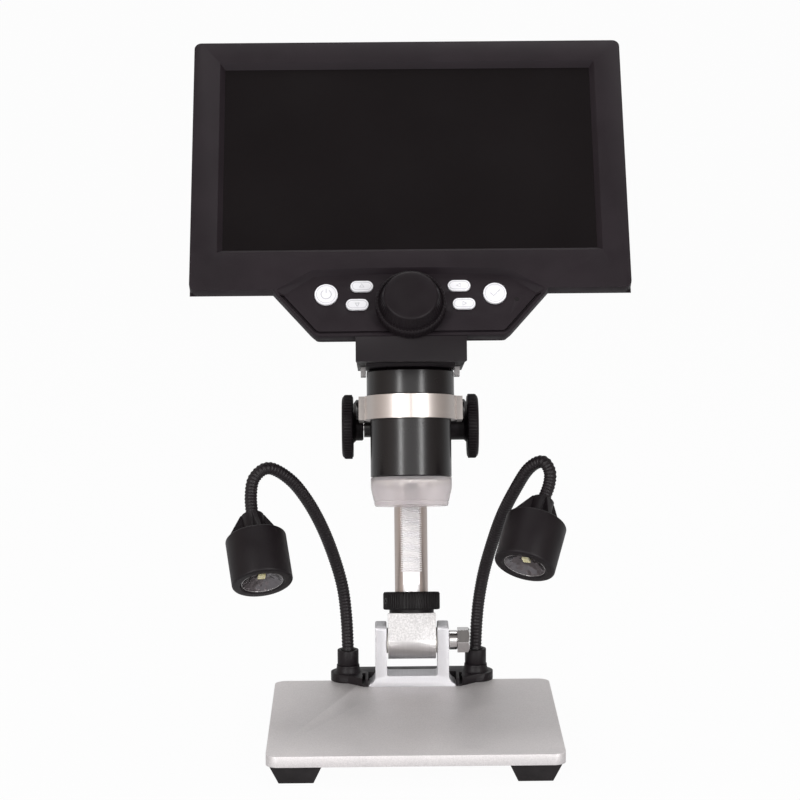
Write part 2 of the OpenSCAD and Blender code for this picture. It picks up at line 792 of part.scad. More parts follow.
module shroud() {
    r = barrel_d / 2;
    mouth = shroud_mouth_d / 2;
    color("lightgray", 0.7) on_barrel() rotate_extrude() polygon([
        [mouth - shroud_wall, shroud_low], [mouth, shroud_low], [r, shroud_bend], [r, barrel_low],
        [shroud_spigot_d / 2, barrel_low], [shroud_spigot_d / 2, barrel_low + shroud_spigot],
        [barrel_bore / 2, barrel_low + shroud_spigot], [barrel_bore / 2, led_seat],
        [r - shroud_wall, led_seat], [r - shroud_wall, shroud_bend]]);
}

module led_board() {
    color("darkgreen") on_barrel(led_seat - led_board_t)
        tube(barrel_d / 2 - shroud_wall, lens_d / 2 + 1.5, led_board_t);
}

module ring_leds() {
    color("lemonchiffon") on_barrel(led_seat - led_board_t - led_h) for (i = [0 : led_count - 1])
        rotate(360 * (i + 0.5) / led_count) translate([led_ring_r, 0, 0]) cylinder(d = led_d, h = led_h);
}

// Lens barrel with an upright tab whose slot the zoom crank's pin drives
slot_h = crank_pin_d + 1.9;
tab_w = 2 * crank_e + crank_pin_d + 8;

module lens_carrier() {
    color("black") on_barrel() difference() {
        union() {
            translate([0, 0, carrier_low]) cylinder(r = carrier_r, h = carrier_h);
            translate([0, 0, carrier_low - lens_nose_l]) cylinder(d = lens_d, h = lens_nose_l + eps);
            translate([-tab_w / 2, slot_v + barrel_offset - tab_t / 2, carrier_low + carrier_h - 1])
                cube([tab_w, tab_t, slot_w + slot_h / 2 + 2 - carrier_low - carrier_h + 1]);
        }
        translate([0, 0, carrier_low - lens_nose_l - eps]) cylinder(d = lens_nose_bore, h = lens_nose_l + 2);
        translate([0, 0, carrier_low + 1]) cylinder(d = carrier_bore, h = 7);
        translate([0, 0, carrier_low + 6]) cylinder(d = lens_d, h = carrier_h);
        translate([0, 0, carrier_low + 12]) cylinder(r = carrier_r - 4, h = carrier_h);
        translate([0, slot_v + barrel_offset, slot_w]) rotate([90, 0, 0])
            linear_extrude(2 * tab_t, center = true) oval(2 * crank_e + slot_h + 1.5, slot_h);
    }
}

module objective_lenses() {
    color("lightblue", 0.6) on_barrel(carrier_low) {
        translate([0, 0, 1]) cylinder(d = carrier_bore, h = 2);
        translate([0, 0, 3.4]) cylinder(d = carrier_bore, h = 1.6);
    }
}

module image_sensor_board() {
    color("darkgreen") on_barrel(sensor_seat) difference() {
        union() {
            cylinder(d = sensor_board_d, h = board_t);
            translate([-4, -4, -1]) cube([8, 8, 1 + eps]);
        }
        translate([-sensor_board_d, -barrel_bore - 5.5, -2])
            cube([2 * sensor_board_d, barrel_bore, 4 * board_t]);
    }
}

// ---------------------------------------------------------------- screen head

// Turns a place on the screen head's side view, up b and behind d, to the column's side view
function head_at(b, d) = [-screen_forward + b * sin(screen_tilt) + d * cos(screen_tilt),
                          screen_w + b * cos(screen_tilt) - d * sin(screen_tilt)];

// The neck's nose reaches under the tongue: its front's top, and where the tongue's end and slant stop
nose_top = head_at(tongue_low - nose_gap, rim_d + nose_gap);
nose_bend = head_at(tongue_low - nose_gap, tongue_back_d);
nose_root = head_at(tongue_back_b - nose_gap, head_d);
nose_low = [nose_top[0], neck_low - nose_drop];

// Side view of the neck
function neck_side() = [
    [-neck_front, neck_low], nose_low, nose_top, nose_bend, nose_root,
    head_at(tongue_back_b, head_d), head_at(neck_top_b, head_d), [-neck_back, neck_back_w],
    [-neck_back, neck_low]];

// Side view of the neck's hollow, open at its top
function neck_hollow() = [
    [-neck_front, neck_low + shell_t], nose_low + [shell_t, shell_t], nose_top + [shell_t, -2 * shell_t],
    nose_bend - [0, 1.2 * shell_t], nose_root - [0, 1.2 * shell_t],
    head_at(tongue_back_b + 2 * shell_t, head_d + 2 * eps),
    head_at(tongue_back_b + 2 * shell_t, head_d - 1), head_at(neck_top_b - shell_t, head_d - 1),
    head_at(neck_top_b - shell_t, head_d + 1), [-neck_back - shell_t, neck_back_w - shell_t / 2],
    [-neck_back - shell_t, neck_low + shell_t]];

// Plan of the neck, narrower at the back
function neck_plan() = let (half = [
        [neck_w / 2, nose_top[0]], [neck_w / 2 - neck_taper, -neck_back], [neck_w / 2 - neck_taper, head_w]])
    concat(half, both_sides(half));

// Where the zoom shaft crosses the plane of the carrier's tab
wheel_at = head_at(wheel_b, 0);
shaft_reach = (slot_v - wheel_at[0]) / cos(screen_tilt);
slot_w = wheel_at[1] - shaft_reach * sin(screen_tilt);

module zoom_shaft_hole(d) {
    on_screen() translate([0, wheel_b, -shaft_reach])
        cylinder(d = d, h = shaft_reach - floor_d - floor_t / 2);
}

module neck_housing() {
    pad_front = barrel_offset + barrel_head_d / 2 + 2;
    color(head_colour) difference() {
        on_column() difference() {
            union() {
                intersection() {
                    along_x(neck_w) polygon(neck_side());
                    linear_extrude(2 * screen_w) polygon(neck_plan());
                }
                translate([-barrel_head_d / 2, -pad_front, barrel_top])
                    cube([barrel_head_d, pad_front - neck_back, neck_pad_t + eps]);
                for (x = [-neck_lug_x - neck_lug[0], neck_lug_x])
                    translate([x, -barrel_offset, neck_low + eps - neck_pad_t - neck_lug[2]])
                        cube(neck_lug + [0, 0, neck_pad_t]);
            }
            along_x(neck_w - 2 * shell_t - 2 * neck_taper) polygon(neck_hollow());
            translate([0, -barrel_offset, barrel_top - eps]) cylinder(d = barrel_bore, h = 3 * shell_t);
        }
        zoom_shaft_hole(wheel_shaft_d + 1.6);
    }
}

// Front view of the screen head, drawn in by t
module head_outline(t = 0) {
    w = head_w - 2 * t;
    h = head_top + head_bottom - 2 * t;
    translate([0, (head_top - head_bottom) / 2]) round_rect(w, h, max(head_corner_r - t, 0.6));
    tongue_outline(t);
}

// Points of a round corner at p, between the edges towards a and b
function corner(a, p, b, r, n = 5) = let (
    u = unit(a - p), v = unit(b - p), half = acos(u * v) / 2,
    middle = p + r / sin(half) * unit(u + v),
    start = p + r / tan(half) * u - middle, end = p + r / tan(half) * v - middle)
    [for (i = [0 : n]) middle + r * unit((n - i) * start + i * end)];

// How far the control tongue runs up behind the head
tongue_root = 12;

// Front view of the control tongue, drawn in by t
module tongue_outline(t = 0) {
    up = -head_bottom + tongue_root;
    slope = (tongue_w - tongue_end_w) / 2 / tongue_reach;
    side = t * sqrt(1 + slope * slope);
    root = [tongue_w / 2 + slope * tongue_root - side, up];
    end = [tongue_end_w / 2 - side + slope * t, tongue_low + t];
    half = concat([root], corner(root, end, [0, end[1]], max(tongue_corner_r - t, 0.6)));
    polygon(concat(half, both_sides(half)));
}

// Front view of the control panel's recess: half widths of its middle and its top, and how high they are
function panel_outline(mid_x, mid_b, top_x, top_b) = let (
    side = concat([[mid_x, tongue_low - 1], [mid_x, mid_b], [top_x, top_b]],
                  [for (x = [0.6, 0.3, 0]) [x * top_x, top_b + panel_arch * (1 - x * x)]]))
    concat(side, [for (p = both_sides(side)) if (p[0] < 0) p]);

module panel_floor() {
    polygon(panel_outline(panel_mid_w / 2, panel_mid_b, panel_top_w / 2, panel_top_b));
}

// The recess at the front plane, wider than its floor by its sloping sides
module panel_mouth(grow = 0) {
    polygon(panel_outline(tongue_w / 2 - rim_w + grow, -head_bottom - 0.2 + grow,
        panel_top_w / 2 + 0.7 + grow, panel_top_b + rim_slope + grow));
}

// The recess with its sloping sides, the lower rim round the tongue and the groove inside that rim
module panel_recess_form() {
    intersection() {
        hull() {
            translate([0, 0, -floor_d]) linear_extrude(eps) panel_floor();
            linear_extrude(1) panel_mouth();
        }
        translate([0, 0, -side_d]) linear_extrude(2 * side_d) tongue_outline(rim_w);
    }
    along_x(2 * tongue_w) polygon([[-head_bottom - 0.3, 1], [-head_bottom - 0.3, 0],
        [-head_bottom - 0.3 - rim_d, -rim_d], [tongue_low - 1, -rim_d], [tongue_low - 1, 1]]);
    translate([0, 0, -groove_d]) linear_extrude(groove_d) difference() {
        intersection() {
            tongue_outline(rim_w);
            translate([0, -head_bottom - head_w / 2 - rim_d]) square(head_w, center = true);
        }
        tongue_outline(rim_w + groove_w);
    }
}

module button_holes() {
    round_places() circle(d = round_button_d + 2 * button_gap);
    oval_places() oval(oval_button_l + 2 * button_gap, oval_button_w + 2 * button_gap);
    translate(light_at) circle(d = light_d);
    translate([0, wheel_b]) circle(d = wheel_shaft_d + 2 * run);
}

module board_posts() {
    for (x = [-1, 1]) {
        translate([x * 11, -head_bottom + 5.2, 0]) children();
        translate([x * 38, -head_bottom - 9.8, 0]) children();
    }
}

module round_places() {
    for (x = [-1, 1]) translate([x * round_button_x, round_button_b]) children();
}

module oval_places() {
    for (x = [-1, 1], at = [oval_up, oval_down]) translate([x * at[0], at[1]]) children();
}

module front_bezel() {
    color(head_colour) on_screen() {
        board_posts() translate([0, 0, -board_front])
            cylinder(d = 4, h = board_front - floor_d - floor_t / 2);
        difference() {
            translate([0, 0, -side_d]) linear_extrude(side_d) head_outline();
            hollow_behind_front();
            window_opening();
            panel_recess_form();
            translate([0, 0, -2 * side_d]) linear_extrude(3 * side_d) button_holes();
        }
    }
}

module hollow_behind_front() {
    translate([0, 0, -side_d - eps]) linear_extrude(side_d - front_t + eps) difference() {
        head_outline(shell_t);
        panel_mouth(0.6);
    }
}

// The picture window with its slope
module window_opening() {
    out = [window_w, window_h] + 2 * [window_bevel, window_bevel];
    translate([0, 0, -side_d]) linear_extrude(2 * side_d) square([window_w, window_h], center = true);
    mirror([0, 0, 1]) translate([0, 0, -eps])
        linear_extrude(front_t, scale = [window_w / out[0], window_h / out[1]]) square(out, center = true);
}

// Closed form of the housing behind the side walls, drawn in by t
module housing_form(t) {
    back = head_d - t;
    top = side_d - (t > 0 ? eps : 0);
    intersection() {
        rotate([90, 0, 0]) linear_extrude(4 * head_w, center = true) polygon([
            [-head_w / 2 + t, -top], [head_w / 2 - t, -top],
            [head_w / 2 - back_inset - t, -back], [-head_w / 2 + back_inset + t, -back]]);
        along_x(2 * head_w) polygon([
            [head_top - t, -top], [head_top - back_inset - t, -back],
            [-head_bottom + back_inset + t, -back], [-head_bottom + t, -top]]);
    }
    intersection() {
        translate([0, 0, -top]) mirror([0, 0, 1])
            linear_extrude(head_d - top, scale = [tongue_taper, 1], slices = 1) tongue_outline(t);
        along_x(2 * head_w) polygon([
            [neck_top_b, -top], [neck_top_b, -back], [tongue_back_b + t, -back],
            [tongue_low + t, -tongue_back_d], [tongue_low + t, -top]]);
    }
}

module screw_posts() {
    for (x = [-1, 1], b = [head_top - back_inset - 8, -head_bottom + back_inset + 8])
        translate([x * (head_w / 2 - back_inset - 8), b, -head_d]) children();
}

module rear_housing() {
    color(head_colour) difference() {
        on_screen() difference() {
            union() {
                difference() {
                    housing_form(0);
                    housing_form(shell_t);
                }
                intersection() {
                    housing_form(0);
                    screw_posts() cylinder(d = 7, h = head_d - side_d);
                }
                for (x = [-50, 50], b = [-22, 30])
                    translate([x, b, -head_d]) cylinder(d = 5, h = head_d - board_low);
            }
            screw_posts() {
                translate([0, 0, -eps]) cylinder(d = 5.6, h = 2 + eps);
                cylinder(d = 2.5, h = head_d - side_d - 4);
            }
            // cable way into the neck
            translate([-10, -62, -head_d - 1]) cube([20, 16, shell_t + 2]);
            side_sockets(0);
        }
        zoom_shaft_hole(wheel_shaft_d + 1.6);
    }
}

module housing_screws() {
    color("silver") on_screen() screw_posts() translate([0, 0, 2]) mirror([0, 0, 1])
        button_screw(2.5, head_d - side_d - 6, 4.8, 1.8);
}

module lcd_panel() {
    color([0.1, 0.1, 0.11]) on_screen() translate([0, 0, -front_t - lcd_t])
        linear_extrude(lcd_t) square([window_w, window_h] + 2 * [lcd_lip, lcd_lip], center = true);
}

module main_board() {
    color("darkgreen") on_screen() translate([0, main_board_b, -board_low]) {
        translate([-main_board_w, -main_board_h, 0] / 2) cube([main_board_w, main_board_h, board_t]);
        translate([-2 * chip, 0, board_t - eps]) cube([chip, chip, chip_t]);
        translate([chip / 2, -0.7 * chip, board_t - eps]) cube([0.7 * chip, 0.6 * chip, 0.75 * chip_t]);
    }
}

module battery_pack() {
    color("lightsteelblue") on_screen() translate([-battery_w / 2, battery_b, shell_t - head_d])
        cube([battery_w, battery_h, battery_t]);
}

module button_board() {
    color("darkgreen") on_screen() difference() {
        union() {
            translate([0, -head_bottom - 2, -board_front - board_t]) linear_extrude(board_t)
                square([button_board_w, button_board_h], center = true);
            translate([0, 0, -board_front - eps]) linear_extrude(switch_h + eps) {
                round_places() circle(d = 4);
                oval_places() circle(d = 4);
            }
        }
        translate([0, wheel_b, -head_d]) cylinder(d = wheel_shaft_d + 2, h = head_d);
    }
}

usb_size = [9, 4];
card_size = [13, 2.4];
socket_depth = 8;

// Sockets in the right side of the housing; grow widens them for a cut
module side_sockets(grow) {
    for (s = [[usb_size, 20], [card_size, 2]])
        translate([head_w / 2 - back_inset - socket_depth, s[1] - s[0][0] / 2, -head_d + 7])
            cube([3 * socket_depth, s[0][0] + grow, s[0][1] + grow]);
}

module side_socket(size, at) {
    wall = 0.4;
    color("silver") on_screen() difference() {
        translate([head_w / 2 - back_inset - socket_depth, at - size[0] / 2, -head_d + 7])
            cube([socket_depth + 3, size[0], size[1]]);
        translate([head_w / 2 - back_inset - socket_depth + 1, at - size[0] / 2 + wall, -head_d + 7 + wall])
            cube([socket_depth + 3, size[0] - 2 * wall, size[1] - 2 * wall]);
    }
}

module usb_socket() { side_socket(usb_size, 20); }

module card_socket() { side_socket(card_size, 2); }

module status_light() {
    color("white") on_screen() translate([light_at[0], light_at[1], -floor_d - floor_t - 2])
        cylinder(d = light_d, h = floor_t + 2);
}

// ---------------------------------------------------------------- controls

module round_button(side) {
    color("gray") on_screen() translate([side * round_button_x, round_button_b, -button_low]) {
        cylinder(d = round_button_d, h = button_low - floor_d + button_rise);
        translate([0, 0, button_low - floor_d - floor_t - 0.05 - flange_t])
            cylinder(d = round_button_d + 2 * flange_w, h = flange_t);
    }
}

module oval_button(side, at) {
    color("gray") on_screen() translate([side * at[0], at[1], -button_low]) {
        linear_extrude(button_low - floor_d + button_rise) oval(oval_button_l, oval_button_w);
        translate([0, 0, button_low - floor_d - floor_t - 0.05 - flange_t])
            linear_extrude(flange_t) oval(oval_button_l + 2 * flange_w, oval_button_w + 2 * flange_w);
    }
}

module button_power() { round_button(-1); }

module button_confirm() { round_button(1); }

module button_up() { oval_button(-1, oval_up); }

module button_down() { oval_button(-1, oval_down); }

module button_left() { oval_button(1, oval_up); }

module button_right() { oval_button(1, oval_down); }

module zoom_wheel() {
    skirt_h = floor_d - wheel_floor_gap + 1.6;
    color("black") on_screen() translate([0, wheel_b, -floor_d + wheel_floor_gap]) difference() {
        union() {
            linear_extrude(skirt_h) ribbed_circle(wheel_d / 2, 44, 0.6);
            translate([0, 0, skirt_h - eps]) cylinder(d1 = wheel_d - 2, d2 = wheel_cap_d, h = 1.6);
            translate([0, 0, skirt_h + 1.5]) cylinder(d = wheel_cap_d,
                h = floor_d - wheel_floor_gap + wheel_rise - skirt_h - 2.5);
            translate([0, 0, floor_d - wheel_floor_gap + wheel_rise - 1 - eps])
                cylinder(d1 = wheel_cap_d, d2 = wheel_cap_d - 2, h = 1 + eps);
        }
        translate([0, 0, -eps]) cylinder(d = wheel_shaft_d, h = wheel_rise);
    }
}

// Zoom shaft with a crank pin at its inner end, which lifts the lens carrier
module zoom_shaft() {
    crank_at = shaft_reach - crank_stand;
    color("silver") on_screen() translate([0, wheel_b, 0]) {
        translate([0, 0, -crank_at]) cylinder(d = wheel_shaft_d, h = crank_at + wheel_rise - floor_d - 1);
        translate([0, 0, -crank_at - crank_t]) cylinder(d = crank_d, h = crank_t + eps);
        translate([crank_e, 0, -shaft_reach - tab_t])
            cylinder(d = crank_pin_d, h = crank_stand - crank_t + tab_t + eps);
    }
}

// ---------------------------------------------------------------- lamps

// A point of a smooth curve through four points, between the middle two
function curve(p, t) = 0.5 * (2 * p[1] + (p[2] - p[0]) * t
    + (2 * p[0] - 5 * p[1] + 4 * p[2] - p[3]) * t * t + (3 * p[1] - p[0] - 3 * p[2] + p[3]) * t * t * t);

// Two points for each stretch of a route, and its end
function smooth(route) = let (n = len(route) - 1, at = function(i) route[min(max(i, 0), n)])
    [for (i = [0 : n - 1], t = [0, 0.5]) curve([at(i - 1), at(i), at(i + 1), at(i + 2)], t),
     route[n]];

function unit(v) = v / norm(v);

// Round tube along a route, in flat-sided rings
module swept_tube(route, d, sides) {
    path = smooth(route);
    last = len(path) - 1;
    way = function(i) unit(path[min(i + 1, last)] - path[max(i - 1, 0)]);
    rings = [for (i = [0 : last]) let (z = way(i), x = unit(cross([0, 1, 0.2], z)), y = cross(z, x))
        for (k = [0 : sides - 1]) path[i] + d / 2 * (cos(360 * k / sides) * x + sin(360 * k / sides) * y)];
    polyhedron(rings, concat(
        [[for (k = [0 : sides - 1]) k]],
        [for (i = [0 : last - 1], k = [0 : sides - 1]) let (a = i * sides, n = (k + 1) % sides)
            each [[a + k, a + sides + k, a + n], [a + n, a + sides + k, a + sides + n]]],
        [[for (k = [sides - 1 : -1 : 0]) last * sides + k]]));
}

module gooseneck_left() { color([0.15, 0.13, 0.14]) swept_tube(left_route, arm_d, 12); }

module gooseneck_right() { color([0.15, 0.13, 0.14]) swept_tube(right_route, arm_d, 12); }

module arm_ferrule(route) {
    low = plate_top + 1.3;
    color("dimgray") translate([route[0][0], route[0][1], low])
        cylinder(r = ferrule_r, h = route[0][2] - low);
}

module arm_ferrule_left() { arm_ferrule(left_route); }

module arm_ferrule_right() { arm_ferrule(right_route); }

// Moves to a lamp's joint: -Z is the way the lamp shines
module at_lamp(route, aim) {
    translate(route[len(route) - 1]) rotate([0, 0, aim[0]]) rotate([-aim[1], 0, 0]) children();
}

lamp_mouth = lamp_neck_l + lamp_l;
reflector_low = lamp_mouth - 0.6;

// The lamp's body with a ball-shaped seat for the end of its arm
module lamp_head(route, aim) {
    r = lamp_d / 2;
    seat = arm_d / 2 + 0.45;
    lip = 1.5;
    color("black") at_lamp(route, aim) difference() {
        union() {
            rotate_extrude() polygon(concat(
                [[0, lip], [lamp_neck_r - 0.7, lip], [lamp_neck_r, lip - 0.7], [lamp_neck_r, -lamp_neck_l]],
                arc([r - lamp_shoulder_r, -lamp_neck_l - lamp_shoulder_r], lamp_shoulder_r, 90, 0, 6),
                arc([r - 1, -lamp_mouth + 1], 1, 0, -90, 4), [[0, -lamp_mouth]]));
            for (a = [0, 90]) rotate(a) rotate([90, 0, 0]) linear_extrude(fin_t, center = true) polygon([
                [-r + 2.4, -lamp_neck_l - 1], [-lamp_neck_r - 0.5, 0], [lamp_neck_r + 0.5, 0],
                [r - 2.4, -lamp_neck_l - 1]]);
        }
        sphere(r = seat);
        cylinder(r1 = seat, r2 = seat + 4 * tan(lamp_swing + 3), h = 4);
        translate([0, 0, -lamp_mouth - eps]) cylinder(d = reflector_d, h = reflector_depth + 2.6 + eps);
    }
}

module lamp_head_left() { lamp_head(left_route, left_aim); }

module lamp_head_right() { lamp_head(right_route, right_aim); }

module lamp_reflector(route, aim) {
    r = reflector_d / 2;
    color("gainsboro") at_lamp(route, aim) rotate_extrude() polygon(concat(
        [[0, -reflector_low + reflector_depth + 2], [r, -reflector_low + reflector_depth + 2],
         [r, -reflector_low], [r - 0.5, -reflector_low]],
        [for (i = [1 : 6]) let (t = i / 6)
            [(r - 0.5) - (r - 0.5 - 2.2) * t, -reflector_low + reflector_depth * sin(90 * t)]],
        [[0, -reflector_low + reflector_depth]]));
}

module lamp_reflector_left() { lamp_reflector(left_route, left_aim); }

module lamp_reflector_right() { lamp_reflector(right_route, right_aim); }

module lamp_led(route, aim) {
    color("khaki") at_lamp(route, aim) translate([0, 0, -reflector_low + reflector_depth - 0.45])
        cube([3, 3, 0.9], center = true);
}

module lamp_led_left() { lamp_led(left_route, left_aim); }

module lamp_led_right() { lamp_led(right_route, right_aim); }

module foot_front_left() { foot(-1, -1); }

module foot_front_right() { foot(1, -1); }

module foot_rear_left() { foot(-1, 1); }

module foot_rear_right() { foot(1, 1); }

base_plate();
foot_front_left();
foot_front_right();
foot_rear_left();
foot_rear_right();
foot_screws();
bracket();
bracket_screws();
pivot_bolt();
bolt_spacer();
friction_washers();
lamp_base();
lamp_base_screws();
lamp_sockets();
pivot_block();
column();
column_collar();
carriage();
barrel_clamp();
clamp_screws();
pinion_bushes();
pinion_shaft();
focus_knob_left();
focus_knob_right();
barrel();
shroud();
led_board();
ring_leds();
lens_carrier();
objective_lenses();
image_sensor_board();
neck_housing();
front_bezel();
rear_housing();
housing_screws();
lcd_panel();
main_board();
battery_pack();
button_board();
usb_socket();
card_socket();
status_light();
zoom_shaft();
zoom_wheel();
button_power();
button_confirm();
button_up();
button_down();
button_left();
button_right();
arm_ferrule_left();
arm_ferrule_right();
gooseneck_left();
gooseneck_right();
lamp_head_left();
lamp_head_right();
lamp_reflector_left();
lamp_reflector_right();
lamp_led_left();
lamp_led_right();
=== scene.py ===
"""Looks of a digital microscope with a screen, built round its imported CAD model.

Metres, in the model's own frame: the origin is the centre of the stage on the
table, +X to the user's right, +Y away from the user and +Z up.
"""
import json
import math

import bmesh
import bpy
from bpy.props import FloatProperty, FloatVectorProperty, IntProperty, PointerProperty
from bpy.types import Operator, Panel, PropertyGroup
from mathutils import Matrix, Vector


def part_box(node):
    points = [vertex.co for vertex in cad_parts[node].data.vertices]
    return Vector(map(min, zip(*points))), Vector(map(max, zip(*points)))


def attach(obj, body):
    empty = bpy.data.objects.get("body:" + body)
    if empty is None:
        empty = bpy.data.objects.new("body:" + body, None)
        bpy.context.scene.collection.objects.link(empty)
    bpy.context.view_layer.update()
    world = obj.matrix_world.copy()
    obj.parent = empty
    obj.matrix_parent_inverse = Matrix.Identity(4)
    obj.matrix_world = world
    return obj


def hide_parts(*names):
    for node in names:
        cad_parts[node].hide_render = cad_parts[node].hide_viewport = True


bl_info = {
    "name": "Digital microscope",
    "version": (1, 0, 0),
    "blender": (4, 5, 0),
    "location": "View3D > Sidebar > Microscope",
    "description": "Finished pieces of a digital microscope round its CAD model",
    "category": "Object",
}

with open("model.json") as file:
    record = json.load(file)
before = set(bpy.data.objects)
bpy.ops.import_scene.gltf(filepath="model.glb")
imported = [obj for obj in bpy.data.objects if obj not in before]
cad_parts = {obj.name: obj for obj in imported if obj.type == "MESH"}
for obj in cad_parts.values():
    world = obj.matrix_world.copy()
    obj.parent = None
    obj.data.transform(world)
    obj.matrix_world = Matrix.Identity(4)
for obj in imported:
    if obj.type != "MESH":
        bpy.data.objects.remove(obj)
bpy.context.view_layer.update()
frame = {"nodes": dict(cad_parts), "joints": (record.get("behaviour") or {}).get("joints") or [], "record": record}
MM = 0.001

JOINTS = {joint["name"]: joint for joint in frame["joints"]}
BODY_OF = {node: body for body, nodes in frame["record"]["behaviour"]["bodies"].items() for node in nodes}


# ------------------------------------------------------------------ places

def place_at(origin, across, out):
    """A turned place: X across, Z out, and Y square to both."""
    x, z = Vector(across).normalized(), Vector(out).normalized()
    return Matrix.Translation(Vector(origin)) @ Matrix((x, z.cross(x), z)).transposed().to_4x4()


def box_in(node, place):
    """A node's lowest and highest corners, as measured in a turned place."""
    turned = place.inverted()
    points = [turned @ v.co for v in frame["nodes"][node].data.vertices]
    return Vector(map(min, zip(*points))), Vector(map(max, zip(*points)))


def middle(node):
    """Middle of a node's box."""
    low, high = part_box(node)
    return (low + high) / 2


def screen_place():
    """The screen: its origin is in front of the display's middle, in the bezel's front plane."""
    out = Vector(JOINTS["zoom_turn"]["axis"])
    centre = middle("lcd_panel")
    front = max(v.co.dot(out) for v in frame["nodes"]["front_bezel"].data.vertices)
    return place_at(centre + (front - centre.dot(out)) * out, (1, 0, 0), out)


def lamp_place(side):
    """A lamp's joint: X is its tilt axis and -Z the way it shines."""
    joint = JOINTS[f"lamp_{side}_tilt"]
    pivot = Vector(joint["pos_m"])
    return place_at(pivot, joint["axis"], pivot - middle(f"lamp_led_{side}"))


ALONG = JOINTS["focus_travel"]["axis"]
LEAN = math.atan2(ALONG[1], ALONG[2])
COLUMN = place_at(JOINTS["column_tilt"]["pos_m"], (1, 0, 0), ALONG)
BARREL = place_at(JOINTS["head_turn"]["pos_m"], (1, 0, 0), ALONG)
BOLT = place_at(JOINTS["column_tilt"]["pos_m"], (0, 0, 1), (1, 0, 0))
SCREEN = screen_place()
WHEEL = place_at(JOINTS["zoom_turn"]["pos_m"], (1, 0, 0), JOINTS["zoom_turn"]["axis"])
LAMPS = {side: lamp_place(side) for side in ("left", "right")}

# Points that each bendy arm passes, from the top of its socket to its lamp
ARM_ROUTES = {
    "left": [(-.028, .061, .0266), (-.0285, .061, .04), (-.03, .0595, .054), (-.0335, .055, .0685),
             (-.0385, .0465, .084), (-.0445, .0375, .0975), (-.0515, .03, .108), (-.06, .024, .114),
             (-.066, .021, .1105), (-.0675, .0175, .1035), (-.0667, .0113, .0951)],
    "right": [(.028, .061, .0266), (.0285, .061, .037), (.0295, .06, .048), (.0315, .0555, .061),
              (.0345, .048, .0745), (.0385, .0375, .0895), (.0435, .0275, .1025), (.049, .019, .1135),
              (.0545, .0145, .1175), (.0575, .0115, .114), (.057, .0085, .1085), (.0539, .0033, .1021)],
}


def linear(red, green, blue):
    """A screen colour, 0 to 255, as Blender's linear values."""
    return tuple(((c / 255 + 0.055) / 1.055) ** 2.4 if c > 10 else c / 255 / 12.92
                 for c in (red, green, blue))


# ------------------------------------------------------------------ settings

def colour(name, description, red, green, blue):
    return FloatVectorProperty(name=name, description=description, default=linear(red, green, blue),
                               size=3, min=0, max=1, subtype="COLOR")


def length(name, description, default):
    return FloatProperty(name=name, description=description, default=default, min=0, soft_max=0.02,
                         precision=5, subtype="DISTANCE", unit="LENGTH")


class ScopeColours(PropertyGroup):
    """Colours of the microscope's finishes."""
    housing: colour("Housing", "Moulded plastic of the screen head", 29, 23, 27)
    controls: colour("Controls", "Plastic of the knobs, the zoom wheel and the head's neck", 23, 18, 21)
    anodised: colour("Anodised", "Black metal of the barrel, the lock collar and the black screws", 12, 8, 10)
    lamp: colour("Lamp", "Matt black of the lamps, their arms and base, and the carriage", 20, 15, 18)
    stage: colour("Stage", "Blasted aluminium of the stage", 212, 208, 208)
    bracket: colour("Bracket", "Satin aluminium of the column bracket", 198, 197, 200)
    clamp: colour("Clamp", "Brushed aluminium of the barrel clamp", 202, 195, 191)
    block: colour("Block", "Cast aluminium of the pivot block", 198, 196, 196)
    column: colour("Column", "Ground steel of the column", 222, 220, 221)
    shroud: colour("Shroud", "Frosted plastic of the cup round the objective", 234, 229, 230)
    buttons: colour("Buttons", "Painted buttons", 222, 221, 224)
    display: colour("Display", "Dark glass of the display", 20, 17, 18)


class ScopeSizes(PropertyGroup):
    """Sizes of the microscope's details."""
    housing_edge: length("Housing edge", "Rounding of the housing's edges", 0.0004)
    metal_edge: length("Metal edge", "Rounding of machined edges", 0.0003)
    rib_pitch: length("Arm rib pitch", "Length of one rib of a bendy arm", 0.0015)
    rib_depth: length("Arm rib depth", "Depth of the grooves of a bendy arm", 0.0003)
    arm_diameter: length("Arm diameter", "Outer diameter of a bendy arm", 0.0054)
    collar_ribs: IntProperty(name="Collar ribs", description="Straight ribs round the lock collar",
                             default=60, min=8, max=90)
    knob_ribs: IntProperty(name="Knob ribs", description="Ribs round a focus knob", default=60, min=8, max=90)
    wheel_ribs: IntProperty(name="Wheel ribs", description="Ribs round the zoom wheel's skirt and wall",
                            default=60, min=8, max=90)


class ScopeStage(PropertyGroup):
    """Light, camera and floor."""
    camera_at: FloatVectorProperty(name="Camera place", description="Where the camera stands", size=3,
                                   default=(-0.0136, -1.1364, 0.3278), subtype="XYZ", unit="LENGTH")
    camera_pitch: FloatProperty(name="Camera pitch", description="How far the camera looks down",
                                default=math.radians(9.07), subtype="ANGLE", unit="ROTATION")
    camera_heading: FloatProperty(name="Camera heading", description="How far the camera looks to the right",
                                  default=math.radians(0.445), subtype="ANGLE", unit="ROTATION")
    camera_roll: FloatProperty(name="Camera roll", description="How far the camera leans to the side",
                               default=math.radians(0.45), subtype="ANGLE", unit="ROTATION")
    lens: FloatProperty(name="Lens", description="Focal length on a 36 mm sensor", default=126,
                        min=20, max=300, subtype="DISTANCE_CAMERA")
    softbox_watts: FloatProperty(name="Softbox", description="Power of each of the two front softboxes",
                                 default=7.5, min=0, soft_max=60, subtype="POWER")
    overhead_watts: FloatProperty(name="Overhead", description="Power of the overhead light",
                                  default=8, min=0, soft_max=60, subtype="POWER")
    front_watts: FloatProperty(name="Front panel", description="Power of the wide panel above the camera",
                               default=1.8, min=0, soft_max=60, subtype="POWER")
    ambient: FloatProperty(name="Ambient", description="Level of the light from all round",
                           default=0.4, min=0, soft_max=2)


